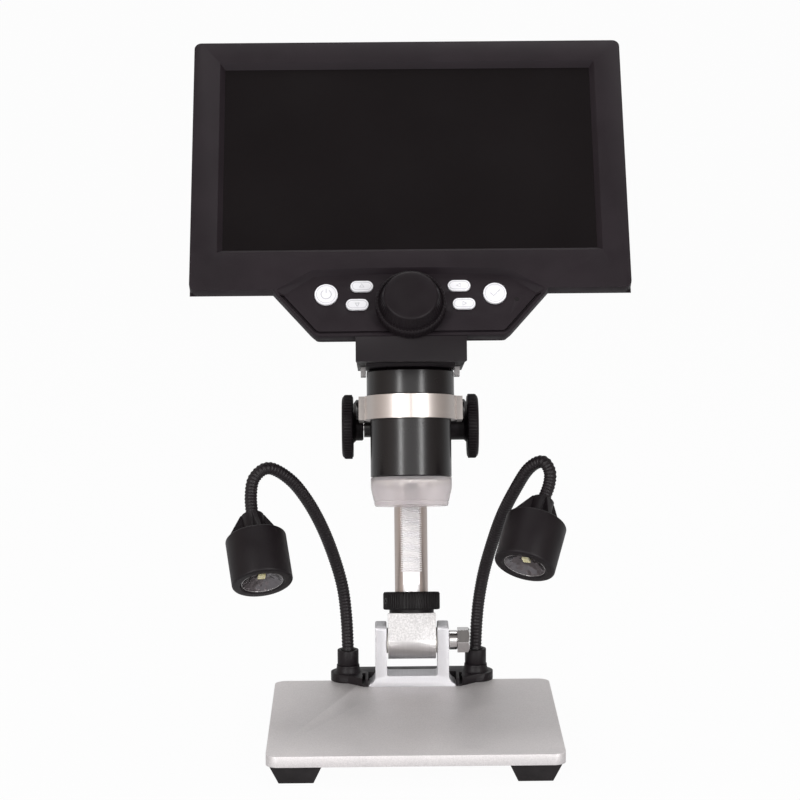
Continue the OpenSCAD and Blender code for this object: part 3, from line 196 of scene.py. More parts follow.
# ------------------------------------------------------------------ finishes

class Finish:
    """A material whose pattern lies in object coordinates."""

    def __init__(self, name, **fixed):
        self.material = bpy.data.materials.new(name)
        self.material.use_nodes = True
        self.tree = self.material.node_tree
        self.shader = self.tree.nodes["Principled BSDF"]
        for socket, value in fixed.items():
            self.shader.inputs[socket.replace("_", " ")].default_value = value

    def node(self, kind, **values):
        node = self.tree.nodes.new(kind)
        for name, value in values.items():
            setattr(node, name, value)
        return node

    def link(self, source, target):
        self.tree.links.new(source, target)

    def pattern(self, stretch=(1, 1, 1), turn=0.0):
        """Object coordinates, turned about X and stretched."""
        where = self.node("ShaderNodeTexCoord")
        turned = self.node("ShaderNodeMapping")
        turned.inputs["Rotation"].default_value = (turn, 0, 0)
        scaled = self.node("ShaderNodeVectorMath", operation="MULTIPLY")
        scaled.inputs[1].default_value = stretch
        self.link(where.outputs["Object"], turned.inputs["Vector"])
        self.link(turned.outputs["Vector"], scaled.inputs[0])
        return scaled.outputs[0]

    def noise(self, scale, detail=3.0, stretch=(1, 1, 1), turn=0.0):
        noise = self.node("ShaderNodeTexNoise")
        noise.inputs["Scale"].default_value = scale
        noise.inputs["Detail"].default_value = detail
        self.link(self.pattern(stretch, turn), noise.inputs["Vector"])
        return noise.outputs["Fac"]

    def cells(self, scale, feature="F1", stretch=(1, 1, 1), turn=0.0):
        cells = self.node("ShaderNodeTexVoronoi", feature=feature)
        cells.inputs["Scale"].default_value = scale
        self.link(self.pattern(stretch, turn), cells.inputs["Vector"])
        return cells.outputs["Distance"]

    def spread(self, source, low, high, start=0.3, end=0.7):
        """Turns a pattern from start to end into values from low to high."""
        spread = self.node("ShaderNodeMapRange")
        for name, value in zip(("From Min", "From Max", "To Min", "To Max"), (start, end, low, high)):
            spread.inputs[name].default_value = value
        self.link(source, spread.inputs["Value"])
        return spread.outputs["Result"]

    def tint(self, source, dark, light, start=0.3, end=0.7):
        """Turns a pattern into colours from dark to light."""
        ramp = self.node("ShaderNodeValToRGB")
        low, high = ramp.color_ramp.elements
        low.position, high.position = start, end
        low.color, high.color = (*dark, 1), (*light, 1)
        self.link(source, ramp.inputs["Fac"])
        return ramp.outputs["Color"]

    def set(self, socket, source):
        self.link(source, self.shader.inputs[socket])

    def bump(self, height, distance, strength=1.0):
        """Adds relief on top of any that is there."""
        bump = self.node("ShaderNodeBump")
        bump.inputs["Strength"].default_value = strength
        bump.inputs["Distance"].default_value = distance
        self.link(height, bump.inputs["Height"])
        for earlier in list(self.shader.inputs["Normal"].links):
            self.link(earlier.from_socket, bump.inputs["Normal"])
        self.link(bump.outputs["Normal"], self.shader.inputs["Normal"])


def shaded(base, factor):
    return tuple(min(1, c * factor) for c in base)


def moulded(name, base, rough=(0.44, 0.56), grain=2300, depth=0.00002, specular=0.28):
    """Spark-textured moulded plastic, a little cloudy."""
    finish = Finish(name, Specular_IOR_Level=specular)
    finish.set("Base Color", finish.tint(finish.noise(45, 4), shaded(base, 0.86), shaded(base, 1.14)))
    finish.set("Roughness", finish.spread(finish.noise(120, 5), *rough))
    finish.bump(finish.noise(grain, 2), depth, 0.5)
    return finish.material


def blasted(name, base, grain=1500, depth=0.00004, rough=(0.42, 0.58), metal=0.85, speckle=0.12):
    """Bead-blasted aluminium with a fine sparkle."""
    finish = Finish(name, Metallic=metal)
    fine = finish.noise(grain, 4)
    finish.set("Base Color", finish.tint(fine, shaded(base, 1 - speckle), shaded(base, 1 + speckle),
                                         0.38, 0.62))
    finish.set("Roughness", finish.spread(finish.noise(70, 4), *rough))
    finish.bump(fine, depth, 0.6)
    return finish.material


def brushed(name, base, stretch, turn=0.0, rough=(0.24, 0.4), contrast=0.1, depth=0.00002, metal=1.0):
    """Metal with fine lines along one direction."""
    finish = Finish(name, Metallic=metal)
    lines = finish.noise(1, 4, stretch, turn)
    finish.set("Base Color", finish.tint(lines, shaded(base, 1 - contrast), shaded(base, 1 + contrast)))
    finish.set("Roughness", finish.spread(finish.noise(1, 3, tuple(s * 0.6 for s in stretch), turn), *rough))
    finish.bump(lines, depth, 0.6)
    return finish.material


def frosted(name, base):
    """Milky plastic that lets light through."""
    finish = Finish(name, Transmission_Weight=0.8, IOR=1.12, Specular_IOR_Level=0.3)
    finish.set("Base Color", finish.tint(finish.noise(90, 3), shaded(base, 0.95), shaded(base, 1.05)))
    finish.set("Roughness", finish.spread(finish.noise(400, 3), 0.44, 0.54))
    finish.bump(finish.noise(2400, 2), 0.00001, 0.4)
    return finish.material


def ribbed_skin(name, base):
    """Soft black skin over a wound arm, a little dusty."""
    finish = Finish(name, Specular_IOR_Level=0.3)
    finish.set("Base Color", finish.tint(finish.noise(300, 4), shaded(base, 0.9), shaded(base, 1.4)))
    finish.set("Roughness", finish.spread(finish.noise(600, 3), 0.4, 0.58))
    finish.bump(finish.noise(3000, 2), 0.00002, 0.5)
    return finish.material


def rubber(name, base):
    """Dull rubber with a fine grain."""
    finish = Finish(name, Specular_IOR_Level=0.25)
    finish.set("Base Color", finish.tint(finish.noise(160, 4), shaded(base, 0.8), shaded(base, 1.25)))
    finish.set("Roughness", finish.spread(finish.noise(220, 4), 0.66, 0.82))
    finish.bump(finish.noise(1300, 3), 0.00006, 0.6)
    return finish.material


def display_glass(name, base):
    """Dark display under its cover, nearly black and a little smeared."""
    finish = Finish(name, Specular_IOR_Level=0.14)
    finish.set("Base Color", finish.tint(finish.noise(14, 2), shaded(base, 0.9), shaded(base, 1.1)))
    finish.set("Roughness", finish.spread(finish.noise(30, 4), 0.16, 0.24))
    return finish.material


def coated_glass(name):
    """Lens glass with a faint blue-green coating."""
    finish = Finish(name, Transmission_Weight=1.0, IOR=1.5, Coat_Weight=0.3)
    finish.set("Base Color", finish.tint(finish.noise(60, 2), (0.55, 0.75, 0.85), (0.75, 0.7, 0.9)))
    finish.set("Roughness", finish.spread(finish.noise(200, 2), 0.01, 0.05))
    return finish.material


def circuit_board(name):
    """Green board with darker tracks under its varnish."""
    finish = Finish(name, Specular_IOR_Level=0.5)
    tracks = finish.cells(260, "DISTANCE_TO_EDGE", (1, 1, 0.4))
    finish.set("Base Color", finish.tint(tracks, (0.09, 0.22, 0.08), (0.012, 0.09, 0.04), 0.03, 0.09))
    finish.set("Roughness", finish.spread(tracks, 0.25, 0.42, 0.02, 0.2))
    finish.bump(finish.spread(tracks, 1, 0, 0.03, 0.09), 0.00003, 0.6)
    return finish.material


def wrapped_cell(name):
    """Shrink-wrapped battery with slack wrinkles."""
    finish = Finish(name, Specular_IOR_Level=0.5)
    finish.set("Base Color", finish.tint(finish.noise(35, 3), (0.06, 0.12, 0.3), (0.1, 0.2, 0.42)))
    finish.set("Roughness", finish.spread(finish.noise(80, 3), 0.25, 0.4))
    finish.bump(finish.noise(90, 5, (1, 0.3, 1)), 0.0003, 0.5)
    return finish.material


def chromed(name, base):
    """Bright reflector with a dimpled face."""
    finish = Finish(name, Metallic=1.0)
    dimples = finish.cells(430, "SMOOTH_F1")
    finish.set("Base Color", finish.tint(finish.noise(500, 2), shaded(base, 0.8), base))
    finish.set("Roughness", finish.spread(finish.noise(300, 2), 0.03, 0.09))
    finish.bump(dimples, 0.0008, 0.8)
    return finish.material


def phosphor(name, dark, light):
    """Cloudy face of a lamp chip."""
    finish = Finish(name, Specular_IOR_Level=0.5)
    finish.set("Base Color", finish.tint(finish.noise(900, 3), dark, light))
    finish.set("Roughness", finish.spread(finish.noise(700, 2), 0.3, 0.5))
    finish.bump(finish.noise(1500, 2), 0.00005, 0.5)
    return finish.material


def build_finishes(look):
    """All finishes of the microscope, by name."""
    return {
        "housing": moulded("Moulded housing", look.housing, specular=0.16),
        "controls": moulded("Moulded controls", look.controls, rough=(0.4, 0.52), specular=0.14),
        "anodised": moulded("Black anodised metal", look.anodised, rough=(0.23, 0.28), grain=2600,
                            depth=0.00001, specular=0.4),
        "knurled": moulded("Black knurled metal", look.anodised, rough=(0.4, 0.5), grain=2600,
                           depth=0.00001, specular=0.2),
        "lug": moulded("Grey moulded lug", linear(166, 162, 161), rough=(0.4, 0.5), depth=0.00001,
                       specular=0.3),
        "lamp": moulded("Lamp black", look.lamp, rough=(0.4, 0.52), grain=2200, specular=0.22),
        "stage": blasted("Blasted stage", look.stage, grain=2600, depth=0.00002, rough=(0.46, 0.6),
                         metal=0.7, speckle=0.07),
        "block": blasted("Sand-cast block", look.block, depth=0.00007, rough=(0.45, 0.58), metal=0.5,
                         speckle=0.14),
        "turned": brushed("Turned aluminium", look.block, stretch=(2600, 60, 60), rough=(0.3, 0.42),
                          contrast=0.05, depth=0.00001),
        "bracket": brushed("Extruded bracket", look.bracket, stretch=(2500, 60, 2500), rough=(0.42, 0.54),
                           contrast=0.04, depth=0.00001, metal=0.45),
        "clamp": brushed("Brushed clamp", look.clamp, stretch=(120, 120, 5200), turn=LEAN,
                         rough=(0.3, 0.38), contrast=0.02, depth=0.000004),
        # Painted shade: the clamp's own colour darkened to 0.42 for its flat arms, standing in for the dimmer room
        # they mirror; this copy is also rougher
        "clamp arms painted shade": brushed("Dull clamp", shaded(look.clamp, 0.42), stretch=(120, 120, 5200), turn=LEAN,
                              rough=(0.4, 0.5), contrast=0.02, depth=0.000004),
        "column": brushed("Ground column", look.column, stretch=(3600, 3600, 300), turn=LEAN,
                          rough=(0.4, 0.5), contrast=0.03, depth=0.000006),
        # The column's turned sides, the same steel as the flat: their darker, warmer colour is a painted
        # reflection of the warm room, and their turned grain is the steel's own
        "column sides painted reflection": brushed("Turned column", linear(196, 184, 178), stretch=(90, 90, 4200), turn=LEAN,
                               rough=(0.3, 0.38), contrast=0.03, depth=0.000006),
        "screw": brushed("Plated steel", linear(224, 222, 222), stretch=(3000, 90, 90), rough=(0.06, 0.12),
                         contrast=0.05, depth=0.000006),
        "black screw": moulded("Blackened steel", look.anodised, rough=(0.3, 0.42), grain=2600,
                               depth=0.00001, specular=0.6),
        "washer": moulded("Friction washer", linear(226, 223, 214), rough=(0.4, 0.5)),
        "rubber": rubber("Foot rubber", linear(34, 31, 32)),
        "shroud": frosted("Frosted shroud", look.shroud),
        "buttons": moulded("Painted button", look.buttons, rough=(0.34, 0.46), grain=2600, depth=0.00001,
                           specular=0.5),
        "marks": moulded("Button mark", linear(176, 175, 180), rough=(0.4, 0.5), grain=2600, depth=0.00001,
                         specular=0.4),
        "display": display_glass("Display glass", look.display),
        "lens": coated_glass("Lens glass"),
        "board": circuit_board("Circuit board"),
        "white board": moulded("White lacquered board", linear(224, 222, 216), rough=(0.34, 0.46),
                               grain=1800, depth=0.00001),
        "battery": wrapped_cell("Battery wrap"),
        "reflector": chromed("Dimpled reflector", linear(118, 114, 117)),
        "led": phosphor("Lamp chip", dark=(0.7, 0.63, 0.3), light=(0.88, 0.84, 0.62)),
        "ring led": phosphor("Ring chip", dark=(0.82, 0.81, 0.74), light=(0.93, 0.92, 0.88)),
        "light": moulded("Smoked light guide", linear(24, 22, 24), rough=(0.08, 0.14), grain=2000,
                         depth=0.000002, specular=0.8),
        "skin": ribbed_skin("Arm skin", look.lamp),
    }


FINISHES = {}


# ------------------------------------------------------------------ making pieces

# Points closer than this are one: SAME in a drawn form, WELD in a CAD mesh
SAME, WELD = 1e-7, 2e-6
# In a CAD mesh, edges shorter than SLIVER are dropped and faces that turn by less than FLAT are joined
SLIVER, FLAT = 1e-6, math.radians(0.6)


def new_object(name, mesh):
    piece = bpy.data.objects.new(name, mesh)
    bpy.context.scene.collection.objects.link(piece)
    return piece


def from_bmesh(name, form):
    mesh = bpy.data.meshes.new(name)
    form.to_mesh(mesh)
    form.free()
    return new_object(name, mesh)


def outward(form):
    bmesh.ops.remove_doubles(form, verts=form.verts, dist=SAME)
    bmesh.ops.recalc_face_normals(form, faces=form.faces)


def lathe(name, profile, steps=96):
    """Turns an outline of (radius, height) points round Z."""
    form = bmesh.new()
    points = [form.verts.new((radius, 0, height)) for radius, height in profile]
    edges = [form.edges.new(pair) for pair in zip(points, points[1:])]
    bmesh.ops.spin(form, geom=points + edges, axis=(0, 0, 1), cent=(0, 0, 0), steps=steps,
                   angle=math.tau, use_merge=True)
    outward(form)
    return from_bmesh(name, form)


def slab(name, outline, low, high):
    """A flat piece of the given outline, from one height to another."""
    form = bmesh.new()
    face = form.faces.new([form.verts.new((x, y, low)) for x, y in outline])
    raised = bmesh.ops.extrude_face_region(form, geom=[face])["geom"]
    bmesh.ops.translate(form, verts=[g for g in raised if isinstance(g, bmesh.types.BMVert)],
                        vec=(0, 0, high - low))
    outward(form)
    return from_bmesh(name, form)


def quarter(steps):
    """Turns from 0 to a right angle."""
    return [math.pi / 2 * step / steps for step in range(steps + 1)]


def polyline(name, points, closed=False):
    """A curve of straight runs between points."""
    line = bpy.data.curves.new(name, "CURVE")
    line.dimensions = "3D"
    spline = line.splines.new("POLY")
    spline.points.add(len(points) - 1)
    for point, at in zip(spline.points, points):
        point.co = (*at, 1)
    spline.use_cyclic_u = closed
    return new_object(name, line)


def bead(name, points, radius, closed=False, sides=3):
    """A round wire along points."""
    wire = polyline(name, points, closed)
    wire.data.bevel_depth = radius
    wire.data.bevel_resolution = sides
    wire.data.use_fill_caps = True
    return baked(wire)


def baked(piece):
    """The same piece as a plain mesh, with its modifiers applied."""
    name = piece.name
    bpy.context.view_layer.update()
    graph = bpy.context.evaluated_depsgraph_get()
    mesh = bpy.data.meshes.new_from_object(piece.evaluated_get(graph), preserve_all_data_layers=True,
                                           depsgraph=graph)
    bpy.data.objects.remove(piece)
    mesh.name = name
    return new_object(name, mesh)


def ease(piece, width, segments=2, sharp=28):
    """Rounds every edge sharper than the given angle, in degrees."""
    for face in piece.data.polygons:
        face.use_smooth = True
    bevel = piece.modifiers.new("Ease", "BEVEL")
    bevel.width = width
    bevel.segments = segments
    bevel.limit_method = "ANGLE"
    bevel.angle_limit = math.radians(sharp)
    bevel.harden_normals = True
    bevel.miter_outer = "MITER_ARC"
    return baked(piece)


def eased_copy(node, width, segments=2, sharp=28):
    """A copy of a CAD node with its edges rounded."""
    form = bmesh.new()
    form.from_mesh(frame["nodes"][node].data)
    bmesh.ops.remove_doubles(form, verts=form.verts, dist=WELD)
    bmesh.ops.dissolve_degenerate(form, edges=form.edges, dist=SLIVER)
    bmesh.ops.dissolve_limit(form, angle_limit=FLAT, verts=form.verts, edges=form.edges,
                             use_dissolve_boundaries=False)
    piece = from_bmesh(f"{node}_eased", form)
    return ease(piece, width, segments, sharp)


def joined(name, pieces):
    """Several pieces as one, each keeping its own finish."""
    form = bmesh.new()
    materials = []
    for piece in pieces:
        start = len(form.faces)
        form.from_mesh(piece.data)
        form.faces.ensure_lookup_table()
        for face in form.faces[start:]:
            source = piece.data.materials[face.material_index] if piece.data.materials else None
            if source not in materials:
                materials.append(source)
            face.material_index = materials.index(source)
        bpy.data.objects.remove(piece)
    whole = from_bmesh(name, form)
    for material in materials:
        whole.data.materials.append(material)
    return whole


def coat(piece, finish):
    """Gives the whole piece one finish."""
    piece.data.materials.clear()
    piece.data.materials.append(FINISHES[finish])
    return piece


def moved(piece, place):
    piece.data.transform(place)
    return piece


def block(name, low, high):
    """A plain box between two corners."""
    return slab(name, [(low[0], low[1]), (high[0], low[1]), (high[0], high[1]), (low[0], high[1])],
                low[2], high[2])


def carved(piece, tool, operation):
    """The piece with another one added (UNION) or cut out (DIFFERENCE)."""
    carve = piece.modifiers.new("Carve", "BOOLEAN")
    carve.operation, carve.solver, carve.object = operation, "EXACT", tool
    result = baked(piece)
    bpy.data.objects.remove(tool)
    return result


def repainted(piece, finish, place, test):
    """The piece with another finish on the faces whose middle passes a test in a turned place."""
    piece.data.materials.append(FINISHES[finish])
    turned = place.inverted()
    for face in piece.data.polygons:
        if test(turned @ face.center):
            face.material_index = len(piece.data.materials) - 1
    return piece


def fit(piece, *nodes):
    """Lets a piece stand for CAD nodes and ride on their body."""
    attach(piece, BODY_OF[nodes[0]])
    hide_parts(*nodes)
    return piece


def eased_nodes(finish, width, *nodes, segments=2, sharp=28):
    """Eased copies that stand for their CAD nodes."""
    for node in nodes:
        fit(coat(eased_copy(node, width, segments, sharp), finish), node)


def refinish(finish, *nodes):
    """Gives carried-over CAD nodes a finish."""
    for node in nodes:
        mesh = frame["nodes"][node].data
        for place in range(max(1, len(mesh.materials))):
            if mesh.materials:
                mesh.materials[place] = FINISHES[finish]
            else:
                mesh.materials.append(FINISHES[finish])


# ------------------------------------------------------------------ geometry node trees

class Tree:
    """A geometry node tree with named inputs, which ends in realized, coated geometry."""

    def __init__(self, name, **inputs):
        self.group = bpy.data.node_groups.new(name, "GeometryNodeTree")
        self.group.interface.new_socket("Geometry", in_out="INPUT", socket_type="NodeSocketGeometry")
        self.group.interface.new_socket("Geometry", in_out="OUTPUT", socket_type="NodeSocketGeometry")
        for label, kind in inputs.items():
            self.group.interface.new_socket(label.replace("_", " "), in_out="INPUT",
                                            socket_type=f"NodeSocket{kind}")
        self.inputs = self.group.nodes.new("NodeGroupInput").outputs

    def node(self, kind, settings=None, **sources):
        node = self.group.nodes.new(f"GeometryNode{kind}" if hasattr(bpy.types, f"GeometryNode{kind}")
                                    else f"ShaderNode{kind}")
        for name, value in (settings or {}).items():
            setattr(node, name, value)
        for label, source in sources.items():
            self.feed(node.inputs[label.replace("_", " ")], source)
        return node

    def feed(self, socket, source):
        if isinstance(source, bpy.types.NodeSocket):
            self.group.links.new(source, socket)
        else:
            socket.default_value = source

    def math(self, operation, *sources):
        node = self.group.nodes.new("ShaderNodeMath")
        node.operation = operation
        for socket, source in zip(node.inputs, sources):
            self.feed(socket, source)
        return node.outputs[0]

    def finish(self, geometry):
        """Ends the tree."""
        whole = self.node("RealizeInstances", Geometry=geometry).outputs[0]
        coated = self.node("SetMaterial", Geometry=whole, Material=self.inputs["Material"]).outputs[0]
        self.group.links.new(coated, self.group.nodes.new("NodeGroupOutput").inputs[0])
        return self.group


def grown(piece, tree, **values):
    """The piece after a node tree, as a plain mesh."""
    modifier = piece.modifiers.new("Grow", "NODES")
    modifier.node_group = tree
    names = {item.name: item.identifier for item in tree.interface.items_tree if item.in_out == "INPUT"}
    for label, value in values.items():
        modifier[names[label.replace("_", " ")]] = value
    return baked(piece)


def hose_tree():
    """Round hose with rings round it, along the curve that comes in."""
    tree = Tree("Ribbed hose", Diameter="Float", Pitch="Float", Depth="Float", Sides="Int",
                Material="Material")
    rings_per_rib = 4.0
    step = tree.math("DIVIDE", tree.inputs["Pitch"], rings_per_rib)
    line = tree.node("ResampleCurve", Curve=tree.inputs["Geometry"])
    if hasattr(line, "mode"):
        line.mode = "LENGTH"
    tree.feed(line.inputs["Length"], step)
    index = tree.node("InputIndex").outputs[0]
    wave = tree.math("COSINE", tree.math("MULTIPLY", index, math.tau / rings_per_rib))
    groove = tree.math("MULTIPLY", tree.math("SUBTRACT", 1.0, wave), 0.5)
    radius = tree.math("SUBTRACT", tree.math("DIVIDE", tree.inputs["Diameter"], 2.0),
                       tree.math("MULTIPLY", groove, tree.inputs["Depth"]))
    sized = tree.node("SetCurveRadius", Curve=line.outputs[0], Radius=radius)
    ring = tree.node("CurvePrimitiveCircle", Resolution=tree.inputs["Sides"], Radius=1.0)
    hose = tree.node("CurveToMesh", Curve=sized.outputs[0], Profile_Curve=ring.outputs[0], Fill_Caps=True)
    if "Scale" in hose.inputs:
        tree.feed(hose.inputs["Scale"], tree.node("InputRadius").outputs[0])
    smooth = tree.node("SetShadeSmooth", Geometry=hose.outputs[0])
    return tree.finish(smooth.outputs[0])


def ring_tree():
    """Copies of an object round Z, joined to the body that comes in."""
    tree = Tree("Copies round an axis", Copy="Object", Count="Int", First="Float", Material="Material")
    turn = tree.math("DIVIDE", math.tau, tree.inputs["Count"])
    angle = tree.math("ADD", tree.math("MULTIPLY", tree.node("InputIndex").outputs[0], turn),
                      tree.inputs["First"])
    points = tree.node("Points", Count=tree.inputs["Count"])
    source = tree.node("ObjectInfo", Object=tree.inputs["Copy"])
    rotation = tree.node("CombineXYZ", Z=angle)
    copies = tree.node("InstanceOnPoints", Points=points.outputs[0], Instance=source.outputs["Geometry"],
                       Rotation=rotation.outputs[0])
    whole = tree.node("JoinGeometry")
    tree.group.links.new(tree.inputs["Geometry"], whole.inputs[0])
    tree.group.links.new(copies.outputs[0], whole.inputs[0])
    return tree.finish(whole.outputs[0])


TREES = {}


def with_ring(body, copy, count, finish, first=0.0):
    """A body with copies of a small part round its Z axis."""
    whole = grown(body, TREES["ring"], Copy=copy, Count=count, First=first, Material=FINISHES[finish])
    bpy.data.objects.remove(copy)
    return whole


def rib(name, points, radius, sides=2):
    """One rib of a grip: a round bar along points with shaded sides."""
    bar = bead(name, points, radius, sides=sides)
    for face in bar.data.polygons:
        face.use_smooth = True
    return bar


# ------------------------------------------------------------------ operators

SENSOR_WIDTH = 36  # millimetres, as Blender counts them
SIGHT = 60  # metres, from the camera to past the backdrop
STEEP = 0.99  # a light that looks down more steeply than this has its side along X


class SCOPE_OT_stage(Operator):
    """Camera, lights, floor and backdrop"""
    bl_idname = "scope.stage"
    bl_label = "Stage and light"

    def execute(self, context):
        stage = context.scene.scope_stage
        context.scene.view_settings.view_transform = "Standard"
        self.camera(context, stage)
        self.world(context, stage)
        self.floor()
        for side in (-1, 1):
            self.light(f"softbox_{side}", (side * 0.6, -1.0, 0.42), (0, 0, 0.13), (0.12, 0.9),
                       stage.softbox_watts)
        self.light("front_panel", (0, -1.6, 0.55), (0, 0, 0.13), (1.1, 0.6), stage.front_watts)
        self.light("overhead", (0, 0.22, 1.3), (0, 0, 0.1), (1.0, 0.6), stage.overhead_watts)
        return {"FINISHED"}

    def camera(self, context, stage):
        pitch, heading, roll = stage.camera_pitch, stage.camera_heading, stage.camera_roll
        ahead = Vector((math.sin(heading) * math.cos(pitch), math.cos(heading) * math.cos(pitch),
                        -math.sin(pitch)))
        level = Vector((math.cos(heading), -math.sin(heading), 0))
        upright = level.cross(ahead)
        right = level * math.cos(roll) - upright * math.sin(roll)
        camera = bpy.data.objects.new("camera", bpy.data.cameras.new("camera"))
        camera.matrix_world = place_at(stage.camera_at, right, -ahead)
        camera.data.lens = stage.lens
        camera.data.sensor_width = SENSOR_WIDTH
        camera.data.clip_end = SIGHT
        context.scene.collection.objects.link(camera)
        context.scene.camera = camera

    def world(self, context, stage):
        """White to the camera, even light all round, and a warm dim studio in what mirrors."""
        world = bpy.data.worlds.new("studio")
        world.use_nodes = True
        nodes, links = world.node_tree.nodes, world.node_tree.links
        white = 0.985
        rays = nodes.new("ShaderNodeLightPath")
        where = nodes.new("ShaderNodeTexCoord")
        split = nodes.new("ShaderNodeSeparateXYZ")
        links.new(where.outputs["Generated"], split.inputs[0])

        def spread(axis, start, end, low, high):
            part = nodes.new("ShaderNodeMapRange")
            for name, value in (("From Min", start), ("From Max", end), ("To Min", low), ("To Max", high)):
                part.inputs[name].default_value = value
            links.new(split.outputs[axis], part.inputs["Value"])
            return part.outputs["Result"]

        def combine(kind, first, second):
            node = nodes.new("ShaderNodeMath")
            node.operation = kind
            links.new(first, node.inputs[0])
            links.new(second, node.inputs[1])
            return node.outputs[0]

        # From straight in front, by the sides, to straight behind
        ramp = nodes.new("ShaderNodeValToRGB")
        stops = ((0.0, (0.9, 0.88, 0.87)), (0.12, (0.8, 0.77, 0.75)), (0.24, (0.66, 0.61, 0.58)),
                 (0.36, (0.5, 0.45, 0.42)), (0.5, (0.39, 0.35, 0.33)), (0.64, (0.42, 0.39, 0.37)),
                 (0.8, (0.7, 0.69, 0.68)), (1.0, (0.85, 0.85, 0.85)))
        while len(ramp.color_ramp.elements) < len(stops):
            ramp.color_ramp.elements.new(0.5)
        for stop, (place, shade) in zip(ramp.color_ramp.elements, stops):
            stop.position, stop.color = place, (*shade, 1)
        links.new(spread("Y", -1, 1, 0, 1), ramp.inputs["Fac"])
        # Dim high up in front, where the screen mirrors, and dimmer on the right
        high_up = combine("MAXIMUM", spread("Z", 0.45, 0.7, 1, 0.25), spread("Y", 0, 0.3, 0.25, 1))
        level = combine("MULTIPLY", high_up, spread("X", -1, 1, 1.5, 0.95))
        room = nodes.new("ShaderNodeVectorMath")
        room.operation = "SCALE"
        links.new(ramp.outputs["Color"], room.inputs[0])
        links.new(level, room.inputs["Scale"])
        even = nodes.new("ShaderNodeMixRGB")
        even.inputs["Color1"].default_value = (stage.ambient,) * 3 + (1,)
        links.new(combine("MAXIMUM", rays.outputs["Is Glossy Ray"], rays.outputs["Is Transmission Ray"]),
                  even.inputs["Fac"])
        links.new(room.outputs["Vector"], even.inputs["Color2"])
        shown = nodes.new("ShaderNodeMixRGB")
        shown.inputs["Color2"].default_value = (white, white, white, 1)
        links.new(rays.outputs["Is Camera Ray"], shown.inputs["Fac"])
        links.new(even.outputs["Color"], shown.inputs["Color1"])
        links.new(shown.outputs["Color"], nodes["Background"].inputs["Color"])
        context.scene.world = world

    def floor(self):
        """A floor that sweeps up into a backdrop."""
        front, back, half, bend, top = -3.0, 2.2, 4.0, 0.8, 3.5
        line = [(front, 0.0)]
        line += [(back + bend * math.sin(turn), bend - bend * math.cos(turn)) for turn in quarter(12)]
        line.append((back + bend, top))
        form = bmesh.new()
        rows = [[form.verts.new((x, y, z)) for x in (-half, half)] for y, z in line]
        for low, high in zip(rows, rows[1:]):
            form.faces.new((low[0], low[1], high[1], high[0])).smooth = True
        floor = from_bmesh("floor", form)
        material = bpy.data.materials.new("Studio floor")
        material.use_nodes = True
        nodes, links = material.node_tree.nodes, material.node_tree.links
        lit = nodes["Principled BSDF"]
        lit.inputs["Base Color"].default_value = (0.45, 0.45, 0.46, 1)
        lit.inputs["Roughness"].default_value = 0.9
        lit.inputs["Specular IOR Level"].default_value = 0.0
        white = nodes.new("ShaderNodeEmission")
        white.inputs["Color"].default_value = (1, 1, 1, 1)
        rays = nodes.new("ShaderNodeLightPath")
        shares = []
        for ray, amount in (("Is Camera Ray", 0.97), ("Is Glossy Ray", 0.5), ("Is Transmission Ray", 0.8)):
            part = nodes.new("ShaderNodeMath")
            part.operation = "MULTIPLY"
            part.inputs[1].default_value = amount
            links.new(rays.outputs[ray], part.inputs[0])
            shares.append(part.outputs[0])
        share = nodes.new("ShaderNodeMath")
        share.operation = "ADD"
        links.new(shares[1], share.inputs[0])
        links.new(shares[2], share.inputs[1])
        seen = nodes.new("ShaderNodeMath")
        seen.operation = "MAXIMUM"
        links.new(shares[0], seen.inputs[0])
        links.new(share.outputs[0], seen.inputs[1])
        mix = nodes.new("ShaderNodeMixShader")
        links.new(seen.outputs[0], mix.inputs["Fac"])
        links.new(lit.outputs[0], mix.inputs[1])
        links.new(white.outputs[0], mix.inputs[2])
        links.new(mix.outputs[0], nodes["Material Output"].inputs["Surface"])
        floor.data.materials.append(material)

    def light(self, name, at, target, size, watts):
        lamp = bpy.data.lights.new(name, "AREA")
        lamp.shape = "RECTANGLE"
        lamp.size, lamp.size_y = size
        lamp.energy = watts
        body = bpy.data.objects.new(name, lamp)
        away = Vector(at) - Vector(target)
        side = Vector((0, 0, 1)).cross(away) if abs(away.normalized().z) < STEEP else Vector((1, 0, 0))
        body.matrix_world = place_at(at, side, away)
        bpy.context.scene.collection.objects.link(body)


class SCOPE_OT_finishes(Operator):
    """Materials and node trees that the pieces share"""
    bl_idname = "scope.finishes"
    bl_label = "Finishes"

    def execute(self, context):
        FINISHES.update(build_finishes(context.scene.scope_colours))
        TREES.update(hose=hose_tree(), ring=ring_tree())
        return {"FINISHED"}


